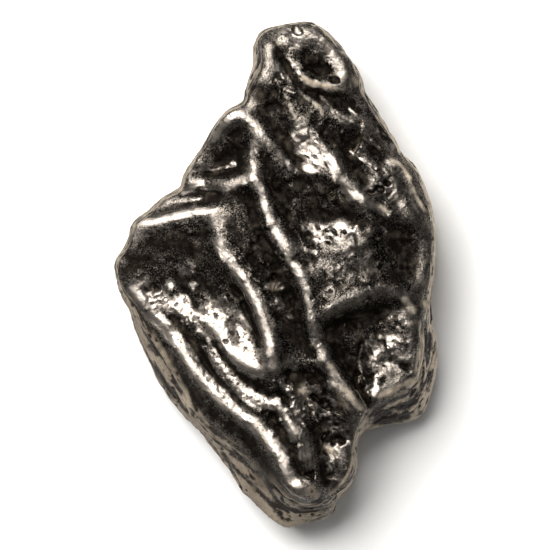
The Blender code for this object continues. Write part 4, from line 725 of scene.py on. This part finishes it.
# Places on the bare lower walls, which keep their dust: place and radius.
DUSTY = [
    (-14.9, -3.4, 1.5), (-13.6, -6.2, 1.7), (-12.5, -8.8, 1.8), (-11.3, -10.9, 1.8), (-10, -12.6, 1.8),
    (-8.6, -14.3, 1.8), (-7.2, -15.9, 1.9), (-6, -17.5, 2), (-4.8, -19.2, 2.1), (-3.4, -20.9, 2.2),
    (-1.9, -22.4, 2.2), (-0.3, -23.7, 2), (1.5, -24.5, 1.6), (3.5, -24.5, 1.4), (15.4, -7, 1.3),
    (15.3, -9.5, 1.5), (14.6, -12, 1.7), (13, -13.4, 1.5), (11.3, -14, 1.3), (9.7, -14.8, 1.2),
    (-13.5, -4.4, 1), (-12.4, -6.4, 1.2), (-11.4, -8.4, 1.1), (-10.4, -10.2, 1),
]

# The relief is worked out on a grid of points round the outline.
STEP = 0.1
CORNER = np.array([-17.6, -27.2])
CELLS = (352, 544)


def smooth_line(points, closed=False, steps=40):
    """A smooth curve through the points, as a Catmull-Rom spline."""
    points = np.array(points, float)
    if closed:
        padded = np.vstack([points[-1:], points, points[:2]])
    else:
        padded = np.vstack([2 * points[0] - points[1], points, 2 * points[-1] - points[-2]])
    t = np.linspace(0, 1, steps, endpoint=False)[:, None]
    pieces = []
    for a, b, c, d in zip(padded[:-3], padded[1:-2], padded[2:-1], padded[3:]):
        bend, twist = 2 * a - 5 * b + 4 * c - d, 3 * b - a - 3 * c + d
        pieces.append(0.5 * (2 * b + (c - a) * t + bend * t**2 + twist * t**3))
    if not closed:
        pieces.append(points[-1:])
    return np.vstack(pieces)


def blurred(field, along, across=None, angle=0):
    """The field blurred by a soft brush, which can be longer one way than the other."""
    across = along if across is None else across
    fx, fy = np.meshgrid(np.fft.fftfreq(field.shape[0]), np.fft.rfftfreq(field.shape[1]), indexing="ij")
    turn = np.radians(angle)
    one, other = fx * np.cos(turn) + fy * np.sin(turn), fy * np.cos(turn) - fx * np.sin(turn)
    brush = np.exp(-2 * np.pi**2 * ((along * one) ** 2 + (across * other) ** 2))
    return np.fft.irfft2(np.fft.rfft2(field) * brush, s=field.shape)


def grain(seed, along, across=None, angle=0):
    """Random unevenness of unit strength with grains of the brush's size."""
    dice = np.random.default_rng(seed)
    field = blurred(dice.standard_normal((CELLS[0] + 1, CELLS[1] + 1)), along, across, angle)
    return field / field.std()


def clipped(values):
    return np.clip(values, 0, 1)


def nearest_finder(places):
    """A tree that finds the nearest of some places on the table."""
    tree = KDTree(len(places))
    for index, place in enumerate(places):
        tree.insert(Vector((place[0], place[1], 0)), index)
    tree.balance()
    return tree


edge_line = smooth_line(OUTLINE, closed=True, steps=60)
edge_tree = nearest_finder(edge_line)
grid_x, grid_y = (CORNER[side] + STEP * np.arange(CELLS[side] + 1) for side in (0, 1))
place_x, place_y = np.meshgrid(grid_x, grid_y, indexing="ij")
nearest = np.zeros(place_x.shape, int)
inset = np.zeros(place_x.shape)
for i, x in enumerate(grid_x):
    for j, y in enumerate(grid_y):
        _, nearest[i, j], inset[i, j] = edge_tree.find(Vector((x, y, 0)))
inside = np.zeros(place_x.shape, bool)
ends = np.roll(edge_line, -1, axis=0)
for j, y in enumerate(grid_y):
    crossing = (edge_line[:, 1] > y) != (ends[:, 1] > y)
    a, b = edge_line[crossing], ends[crossing]
    cuts = np.sort(a[:, 0] + (y - a[:, 1]) / (b[:, 1] - a[:, 1]) * (b[:, 0] - a[:, 0]))
    for left, right in zip(cuts[::2], cuts[1::2]):
        inside[(grid_x > left) & (grid_x < right), j] = True
widest, edge_height, roll = (edge_line[nearest, column] for column in (2, 3, 4))

SETTLING = ((8, 120), (4, 100), (2, 80), (1, 60))  # how coarse the points are, and the rounds on them
OVERSHOOT = 1.8  # each round moves a point past the mean of its neighbours, so the skin settles sooner


def draped(wires, edge):
    """A skin held along the wires and at the outline, settled on coarse points first, then on finer."""
    heights = None
    for coarse, rounds in SETTLING:
        held = edge[::coarse, ::coarse]
        if heights is None:
            heights = held.copy()
        else:
            finer = np.zeros(held.shape)
            finer[::2, ::2] = heights
            finer[1::2, ::2] = (heights[1:] + heights[:-1]) / 2
            finer[:, 1::2] = (finer[:, 2::2] + finer[:, :-1:2]) / 2
            heights = finer
        pinned = ~inside[::coarse, ::coarse]
        heights[pinned] = held[pinned]
        for wire in wires:
            line = smooth_line(wire)
            cells = np.round((line[:, :2] - CORNER) / (STEP * coarse)).astype(int)
            heights[cells[:, 0], cells[:, 1]] = line[:, 2]
            pinned[cells[:, 0], cells[:, 1]] = True
        i, j = np.indices(heights.shape)
        inner = np.zeros(heights.shape, bool)
        inner[1:-1, 1:-1] = True
        halves = [np.nonzero(inner & ~pinned & ((i + j) % 2 == side)) for side in (0, 1)]
        for _ in range(rounds):
            for p, q in halves:
                mean = (heights[p - 1, q] + heights[p + 1, q] + heights[p, q - 1] + heights[p, q + 1]) / 4
                heights[p, q] += OVERSHOOT * (mean - heights[p, q])
    return heights


CREST_WEAR = 1.4  # the radius of the ball that wears the crests
CREST_REACH = 0.62  # the share of that radius that it touches with


def worn(heights):
    """The heights after a ball has rolled under them, which leaves no crest sharper than the ball."""
    reach = int(CREST_WEAR * CREST_REACH / STEP)
    span = range(-reach, reach + 1)
    steps = [(i, j) for i in span for j in span if i**2 + j**2 <= reach**2]
    width, length = heights.shape
    for pick, sign in ((np.minimum, 1), (np.maximum, -1)):
        padded = np.pad(heights, reach, mode="edge")
        heights = np.full(heights.shape, sign * np.inf)
        for i, j in steps:
            sag = CREST_WEAR - np.sqrt(CREST_WEAR**2 - (i**2 + j**2) * STEP**2)
            near = padded[reach + i : reach + i + width, reach + j : reach + j + length]
            heights = pick(heights, near + sign * sag)
    return heights


def traced(points, reach):
    """The patch of the grid round a line, with each place's distance from it and share of its length."""
    line = smooth_line([point[:2] for point in points], steps=12)
    low = np.maximum(np.floor((line.min(axis=0) - CORNER - reach) / STEP).astype(int), 0)
    high = np.minimum(np.ceil((line.max(axis=0) - CORNER + reach) / STEP).astype(int), CELLS)
    patch = (slice(low[0], high[0] + 1), slice(low[1], high[1] + 1))
    x, y = place_x[patch], place_y[patch]
    away, along = np.full(x.shape, np.inf), np.zeros(x.shape)
    spans = np.diff(line, axis=0)
    lengths = np.hypot(*spans.T)
    gone = np.append(0, np.cumsum(lengths))
    for start, span, length, before in zip(line, spans, lengths, gone):
        t = clipped(((x - start[0]) * span[0] + (y - start[1]) * span[1]) / length**2)
        here = np.hypot(x - start[0] - t * span[0], y - start[1] - t * span[1])
        nearer = here < away
        away = np.where(nearer, here, away)
        along = np.where(nearer, (before + t * length) / gone[-1], along)
    return patch, away, along


FRAYING = 0.18  # how far the edge of a painted mark strays


def painted(lines, spots=()):
    """A field that is marked along the lines and over the spots and fades out at their ragged edges."""
    field = np.zeros(place_x.shape)
    for share, width, points in lines:
        patch, away, _ = traced(points, 2 * width)
        field[patch] = np.maximum(field[patch], share * np.exp(-((away / width) ** 3)))
    for share, x, y, radius in spots:
        away = np.hypot(place_x - x, place_y - y)
        field = np.maximum(field, share * np.exp(-((away / radius) ** 3)))
    return clipped(field * (1 + FRAYING * grain(5, 3.0) + FRAYING * grain(8, 1.2)))


def facets(seed, size, tilt, stretch, angle):
    """Flat chips, each with a lean of its own, as brittle metal breaks: heights over a level plane."""
    dice = np.random.default_rng(seed)
    span = np.array(CELLS) * STEP
    count = int(span[0] * span[1] / size**2)
    middles = CORNER + dice.uniform(0, 1, (count, 2)) * span
    leans = dice.normal(0, np.tan(np.radians(tilt)), (count, 2))
    turn = np.radians(angle)
    along = np.array([np.cos(turn), np.sin(turn)]) / stretch
    across = np.array([-np.sin(turn), np.cos(turn)])
    tree = nearest_finder([(middle @ along, middle @ across) for middle in middles])
    ahead, aside = (place_x * way[0] + place_y * way[1] for way in (along, across))
    chip = np.array([tree.find(Vector((a, b, 0)))[1] for a, b in zip(ahead.ravel(), aside.ravel())])
    chip = chip.reshape(place_x.shape)
    off_x, off_y = place_x - middles[chip, 0], place_y - middles[chip, 1]
    return leans[chip, 0] * off_x + leans[chip, 1] * off_y


# The skin over the wires rolls off to the widest line, and then has its ridges, grooves, wear and pits.
ROLL_POWER = 4.0
wires = [wire for group in WIRE_GROUPS for wire in group.values()]
skin = blurred(draped(wires, edge_height), 1.6)
share = clipped(inset / blurred(roll, 3)) * inside
skin = widest + (skin - widest) * (1 - (1 - share) ** ROLL_POWER) ** (1 / ROLL_POWER)
for height, width, points in STROKES:
    patch, away, along = traced(points, 3 * width)
    taper = np.sqrt(clipped(6 * np.minimum(along, 1 - along)))
    skin[patch] += height * taper / (1 + (away / width) ** 2) ** 2
skin = blurred(worn(skin), 1.4)
ragged = 1 + 0.3 * grain(12, 2.5)
for x, y, radius, depth in PITS:
    away = np.hypot(place_x - x, 1.3 * (place_y - y) + 0.4 * (place_x - x)) * ragged
    skin -= depth * clipped(1 - (away / radius) ** 2) ** 1.3

# Hollows are rough and chipped along the metal's own grain, which lies askew. Crests and brushed
# places are smooth, with a few small pores.
HOLLOW_DEPTH, DIMPLE_DEPTH = 0.28, 0.12
ROUGHNESS = 0.4
CREST_SMOOTH, STROKE_SMOOTH, PATCH_SMOOTH = 0.85, 0.92, 0.65
GRAIN_ANGLE = -52
GRAINS = ((0.018, 1, 1.1), (0.022, 2, 2.2), (0.030, 3, 4.5))  # height, seed and size in grid steps
CHIPS = ((6, 1.5, 9, 2.0), (7, 0.7, 10, 1.5))  # seed, size, lean in degrees and stretch
hollow = np.clip((blurred(skin, 9) - skin) / HOLLOW_DEPTH, -1, 1)
crest = clipped(-1.7 * hollow - 0.2)
strength = np.full(skin.shape, ROUGHNESS)
for x, y, radius, amount in ROUGH:
    strength += amount * np.exp(-((place_x - x) ** 2 + (place_y - y) ** 2) / radius**2)
strokes = painted(BRUSHED_LINES)
brushed = np.maximum(strokes, painted((), BRUSHED_SPOTS))
smooth = np.maximum(CREST_SMOOTH * crest, np.maximum(STROKE_SMOOTH * strokes, PATCH_SMOOTH * brushed))
strength *= 1 - smooth
pitting = np.clip(grain(11, 1.6) - 1.2, 0, 2) + 0.5 * brushed * np.clip(grain(13, 1.3) - 1.3, 0, 2)
rough = sum(height * grain(seed, size) for height, seed, size in GRAINS)
rough += 0.020 * grain(4, 7, 1.4, GRAIN_ANGLE) - 0.12 * pitting
rough += blurred(sum(facets(*chip, GRAIN_ANGLE) for chip in CHIPS), 0.9)
skin += strength * rough - 0.06 * brushed * (1 - crest) * pitting
skin += 0.012 * brushed * (1 - crest) * grain(14, 1.0)
dimple = np.clip((blurred(skin, 4) - skin) / DIMPLE_DEPTH, -1, 1)
soiled_and_shaded = painted(SOILED_AND_SHADED) * (1 - brushed)
stained_and_shaded = painted(STAINS_AND_SHADE)
dusted_and_lit = painted(DUST_AND_LIT_EDGES)

# The underside curls up to the widest line.
CURL_WIDTH = 6.5
CURL_POWER = 2.4
relief = blurred(draped(UNDERSIDE.values(), 0 * widest), 5)
curl = widest * clipped(1 - inset / CURL_WIDTH) ** CURL_POWER
bottom = np.minimum(np.maximum(relief, 0) + curl, skin)


def sampled(field, points):
    """Values of a field at any places, in straight steps between its own."""
    place = np.clip((points[:, :2] - CORNER) / STEP, 0, np.array(CELLS) - 0.001)
    cell = place.astype(int)
    fx, fy = (place - cell).T
    i, j = cell.T
    return (
        field[i, j] * (1 - fx) * (1 - fy)
        + field[i + 1, j] * fx * (1 - fy)
        + field[i, j + 1] * (1 - fx) * fy
        + field[i + 1, j + 1] * fx * fy
    )


def rows(values, name):
    """The places or normals of a mesh's points, a row for each."""
    flat = np.empty(3 * len(values))
    values.foreach_get(name, flat)
    return flat.reshape(-1, 3)


def moved(points):
    """Moves the stone's points to new places in millimetres."""
    stone.data.vertices.foreach_set("co", np.ascontiguousarray(points * MM, np.float32).ravel())
    stone.data.update()


def modified(kind, **settings):
    """Gives the stone a modifier and applies it, as by hand."""
    modifier = stone.modifiers.new(kind.title(), kind)
    for setting, value in settings.items():
        setattr(modifier, setting, value)
    bpy.ops.object.modifier_apply(modifier=modifier.name)


# The stone starts as a flat slab cut to the outline, which is then stretched between the two reliefs.
SLAB = 1.6
SAME_POINT = 0.01
SLAB_MESH, STONE_MESH = 0.18, 0.12
drawing = bpy.data.curves.new("outline", "CURVE")
drawing.dimensions = "2D"
drawing.fill_mode = "BOTH"
drawing.extrude = SLAB / 2 * MM
outline_points = smooth_line(OUTLINE, closed=True, steps=8)
spline = drawing.splines.new("POLY")
spline.points.add(len(outline_points) - 1)
for point, place in zip(spline.points, outline_points):
    point.co = (place[0] * MM, place[1] * MM, 0, 1)
spline.use_cyclic_u = True
stone = bpy.data.objects.new("meteorite_stone", drawing)
bpy.context.scene.collection.objects.link(stone)
deselect_all()
bpy.context.view_layer.objects.active = stone
stone.select_set(True)
bpy.ops.object.convert(target="MESH")
stone = bpy.context.object
modified("WELD", merge_threshold=SAME_POINT * MM)
modified("REMESH", mode="VOXEL", voxel_size=SLAB_MESH * MM)
points = rows(stone.data.vertices, "co") / MM
share = clipped(points[:, 2] / SLAB + 0.5)
over, under = sampled(skin, points), sampled(bottom, points)
points[:, 2] = under + (over - under) * share
moved(points)
modified("REMESH", mode="VOXEL", voxel_size=STONE_MESH * MM)
modified("SMOOTH", factor=0.5, iterations=3)


LATTICE = 32
FAR_SIDE = 200  # keeps every place on the positive side of the lattice


def lumps(points, size, seed):
    """Soft random unevenness in space, with lumps of the given size along X, Y and Z."""
    lattice = np.random.default_rng(seed).uniform(-1, 1, (LATTICE, LATTICE, LATTICE))
    place = points / np.array(size) + FAR_SIDE
    cell = np.floor(place).astype(int)
    part = place - cell
    part = part * part * (3 - 2 * part)
    total = 0
    for corner in np.ndindex(2, 2, 2):
        weight = np.ones(len(points))
        for axis, step in enumerate(corner):
            weight = weight * (part[:, axis] if step else 1 - part[:, axis])
        i, j, k = ((cell + corner) % LATTICE).T
        total = total + weight * lattice[i, j, k]
    return total


# What faces up takes the relief's exact height. The walls get lumps, level furrows and pores, each with
# its size along X, Y and Z and its seed, and what comes near the table is worn flat.
BROAD_LUMPS = ((3.4, 3.4, 1.5), 21)
FURROWS = ((3.4, 3.4, 0.45), 22)
SMALL_FURROWS = ((0.9, 0.9, 0.4), 23)
FINE_LUMPS = ((0.4, 0.4, 0.3), 24)
PORES = ((0.6, 0.6, 0.6), 25)
WORN_HEIGHT = 0.2
MOST_TRIANGLES = 190000
points = rows(stone.data.vertices, "co") / MM
facing = rows(stone.data.vertex_normals, "vector")
up = clipped((facing[:, 2] - 0.45) / 0.2)
points[:, 2] += up * (sampled(skin, points) - points[:, 2])
worn_flat = points[:, 2] < WORN_HEIGHT
side = clipped((0.55 - facing[:, 2]) / 0.15)
above = np.clip(facing[:, 2] + 0.9, 0.15, 1)
bumps = 0.14 * lumps(points, *BROAD_LUMPS) + 0.12 * lumps(points, *FURROWS)
bumps += above * (0.08 * lumps(points, *SMALL_FURROWS) + 0.04 * lumps(points, *FINE_LUMPS))
bumps -= above * 0.35 * clipped(lumps(points, *PORES) - 0.45)
rise = clipped((points[:, 2] - WORN_HEIGHT) / 0.8)
points += facing * (side * bumps * rise)[:, None]
points[worn_flat, 2] = 0
points[:, 2] = np.maximum(points[:, 2], 0)
moved(points)
triangles = sum(len(polygon.vertices) - 2 for polygon in stone.data.polygons)
modified("DECIMATE", ratio=min(1, MOST_TRIANGLES / triangles))

# Each point keeps its shares of bare metal, pores, soil with painted shade, dusty wall with painted lit
# edges, and dark stain with painted shade for the finish. The walls are dusty, what is level is brushed,
# and what lies deep is soiled.
points = rows(stone.data.vertices, "co") / MM
facing = rows(stone.data.vertex_normals, "vector")
dusty_wall_and_lit_edge = clipped((0.45 - facing[:, 2]) / 0.2)
for x, y, radius in DUSTY:
    near = np.exp(-(((points[:, 0] - x) ** 2 + (points[:, 1] - y) ** 2) / radius**2) ** 2)
    dusty_wall_and_lit_edge = np.maximum(dusty_wall_and_lit_edge, near * clipped((0.85 - facing[:, 2]) / 0.2))
# The pale marks add dust and painted light on lit edges to the dusty walls.
dusty_wall_and_lit_edge = np.maximum(dusty_wall_and_lit_edge, sampled(dusted_and_lit, points))
level = clipped((facing[:, 2] - 0.62) / 0.2) * (1 - dusty_wall_and_lit_edge)
bare = np.maximum(sampled(0.3 * crest * (1 - soiled_and_shaded), points), sampled(brushed, points)) * level
# What lies deep or is marked soiled is darkened: soil in the hollows, and painted shade under the right
# block.
deep = np.maximum(clipped(2.0 * sampled(hollow, points)), sampled(soiled_and_shaded, points))
deep *= 1 - 0.95 * sampled(brushed, points)
dimpled = clipped(1.8 * sampled(dimple, points)) * (1 - 0.8 * sampled(crest, points))
# Dark stain in the walls' furrows and pores: dirt in them, with painted shade where they dip in.
stain_and_shade = clipped(-2.2 * lumps(points, *FURROWS) - 0.5)
stain_and_shade = np.maximum(stain_and_shade, clipped(-2.4 * lumps(points, *SMALL_FURROWS) - 0.9))
stain_and_shade = np.maximum(stain_and_shade, clipped(4 * lumps(points, *PORES) - 1.9))
stain_and_shade = np.maximum(stain_and_shade, sampled(stained_and_shaded, points))
shares = {
    "bare": bare,
    "pocked": sampled(brushed * (1 - crest), points),
    "soil_and_shade": np.maximum(deep, dimpled) * (1 - dusty_wall_and_lit_edge),
    "dusty_wall_and_lit_edge": dusty_wall_and_lit_edge,
    "stain_and_shade": stain_and_shade,
}
for name, values in shares.items():
    attribute = stone.data.attributes.new(name, "FLOAT", "POINT")
    attribute.data.foreach_set("value", np.ascontiguousarray(values, np.float32))
low, high = points.min(axis=0), points.max(axis=0)
points -= [(low[0] + high[0]) / 2, (low[1] + high[1]) / 2, low[2]]
moved(points)
stone.data.shade_smooth()


# The finish: bare brushed iron on the crests, brown patina and dark soil in the hollows, and tan dust on
# the walls, paler to the right, with dark streaks along their furrows. Painted light is mixed in: pale
# lit edges painted like dust, and painted shade in the soil and streaks under the right block and in
# the wall furrows.
class Paint:
    """A material whose nodes are made one by one, each with its settings first and then its values."""

    def __init__(self, name):
        self.material = bpy.data.materials.new(name)
        self.material.use_nodes = True
        self.tree = self.material.node_tree
        self.shader = self.tree.nodes["Principled BSDF"]

    def node(self, kind, settings=None, values=None, output=0):
        made = self.tree.nodes.new(kind)
        for setting, value in (settings or {}).items():
            setattr(made, setting, value)
        for socket, value in (values or {}).items():
            self.put(made.inputs[socket], value)
        return Shade(self, made.outputs[output])

    def put(self, socket, value):
        if isinstance(value, Shade):
            self.tree.links.new(value.socket, socket)
        else:
            socket.default_value = value


class Shade:
    """A value in a material, so that its arithmetic can be written as ordinary sums."""

    def __init__(self, paint, socket):
        self.paint = paint
        self.socket = socket

    def math(self, operation, *values, clamp=False):
        settings = {"operation": operation, "use_clamp": clamp}
        return self.paint.node("ShaderNodeMath", settings, dict(enumerate(values)))

    def __add__(self, other):
        return self.math("ADD", self, other)

    def __sub__(self, other):
        return self.math("SUBTRACT", self, other)

    def __rsub__(self, other):
        return self.math("SUBTRACT", other, self)

    def __mul__(self, other):
        return self.math("MULTIPLY", self, other)

    __radd__ = __add__
    __rmul__ = __mul__

    def held(self):
        """The value kept between 0 and 1."""
        return self.math("ADD", self, 0.0, clamp=True)

    def mix(self, zero, one):
        """A colour between two, by this share."""
        values = {"Factor": self, 6: zero, 7: one}
        return self.paint.node("ShaderNodeMix", {"data_type": "RGBA"}, values, output=2)


DARK_PATINA, BROWN_PATINA = (0.010, 0.0085, 0.007, 1), (0.11, 0.094, 0.077, 1)
BARE_IRON = (0.56, 0.50, 0.44, 1)
DARK_GRIME_AND_SHADE, BROWN_GRIME_AND_SHADE = (0.0012, 0.0008, 0.0005, 1), (0.010, 0.007, 0.0045, 1)
PORE_RUST = (0.035, 0.018, 0.008, 1)
WALL_BROWN, WALL_TAN, WALL_PALE = (0.15, 0.118, 0.084, 1), (0.34, 0.285, 0.215, 1), (0.56, 0.475, 0.365, 1)
STAIN_AND_SHADE_BLACK = (0.012, 0.007, 0.004, 1)
PALER_BY = 55.0  # how fast the wall colour gets paler to the right, over a metre
BUMP_DEPTH = 0.0001
iron = Paint("nickel_iron_brushed")
place = iron.node("ShaderNodeTexCoord", output=3)


def speckle(scale, detail=3.0):
    return iron.node("ShaderNodeTexNoise", None, {"Vector": place, "Scale": scale, "Detail": detail})


bare_share, pocked_share, soil_and_shade_share, dusty_wall_and_lit_edge_share, stain_and_shade_share = (
    iron.node("ShaderNodeAttribute", {"attribute_name": name}, output=2) for name in shares
)
tiny = speckle(6500.0, 2.0)
small = speckle(2600.0)
medium = speckle(900.0)
large = speckle(260.0)
polish = (bare_share * 1.15 + (tiny - 0.5) * 1.2 + (small - 0.5) * 0.5 + (medium - 0.5) * 0.15).held()
# The soil share darkens the hollows with soil and, under the right block, with painted shade.
dirt_and_shade = (soil_and_shade_share * 1.15 + (medium - 0.5) * 0.5 + (small - 0.5) * 0.7 - bare_share * 0.35).held()
pores = (speckle(3600.0, 1.0) * 7.0 - 4.5 + pocked_share).held() * bare_share
# Pale where the walls are dusty and where edges are painted lit.
dust_and_lit_edge = (dusty_wall_and_lit_edge_share * 1.2 + (medium - 0.5) * 0.5).held()
patina = (tiny * 4.0 - 2.0).held().mix(DARK_PATINA, BROWN_PATINA)
metal = polish.mix(patina, BARE_IRON)
grime_and_shade = (tiny * 3.5 - 1.2).held().mix(DARK_GRIME_AND_SHADE, BROWN_GRIME_AND_SHADE)
metal = dirt_and_shade.mix(metal, grime_and_shade)
metal = pores.mix(metal, PORE_RUST)
dust_and_lit_edge_colour = (large * 2.2 - 0.6).held().mix(WALL_BROWN, WALL_TAN)
pale = (iron.node("ShaderNodeSeparateXYZ", None, {"Vector": place}) * PALER_BY).held()
dust_and_lit_edge_colour = pale.mix(dust_and_lit_edge_colour, WALL_PALE)
# Streaks: stains, with painted shade in the wall furrows and under the right block.
streaks_and_shade = (stain_and_shade_share * 1.4 + (small - 0.5) * 1.6 + (tiny - 0.5) * 0.8).held()
dust_and_lit_edge_colour = streaks_and_shade.mix(dust_and_lit_edge_colour, STAIN_AND_SHADE_BLACK)
colour = dust_and_lit_edge.mix(metal, dust_and_lit_edge_colour)
metallic = (1.0 - dirt_and_shade * 0.35 - dust_and_lit_edge * 0.7).held()
roughness = 0.33 + dirt_and_shade * 0.22 + dust_and_lit_edge * 0.27 + (tiny - 0.5) * 0.2
unevenness = (tiny * 0.35 + small * 0.6 + medium * 0.5) * (1.0 - bare_share * 0.6)
bump = iron.node("ShaderNodeBump", None, {"Strength": 1.0, "Distance": BUMP_DEPTH, "Height": unevenness})
iron.shader.inputs["Specular IOR Level"].default_value = 0.15
iron.put(iron.shader.inputs["Base Color"], colour)
iron.put(iron.shader.inputs["Metallic"], metallic)
iron.put(iron.shader.inputs["Roughness"], roughness)
iron.put(iron.shader.inputs["Normal"], bump)
stone.data.materials.clear()
stone.data.materials.append(iron.material)
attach(stone, "root")
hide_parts("meteorite")
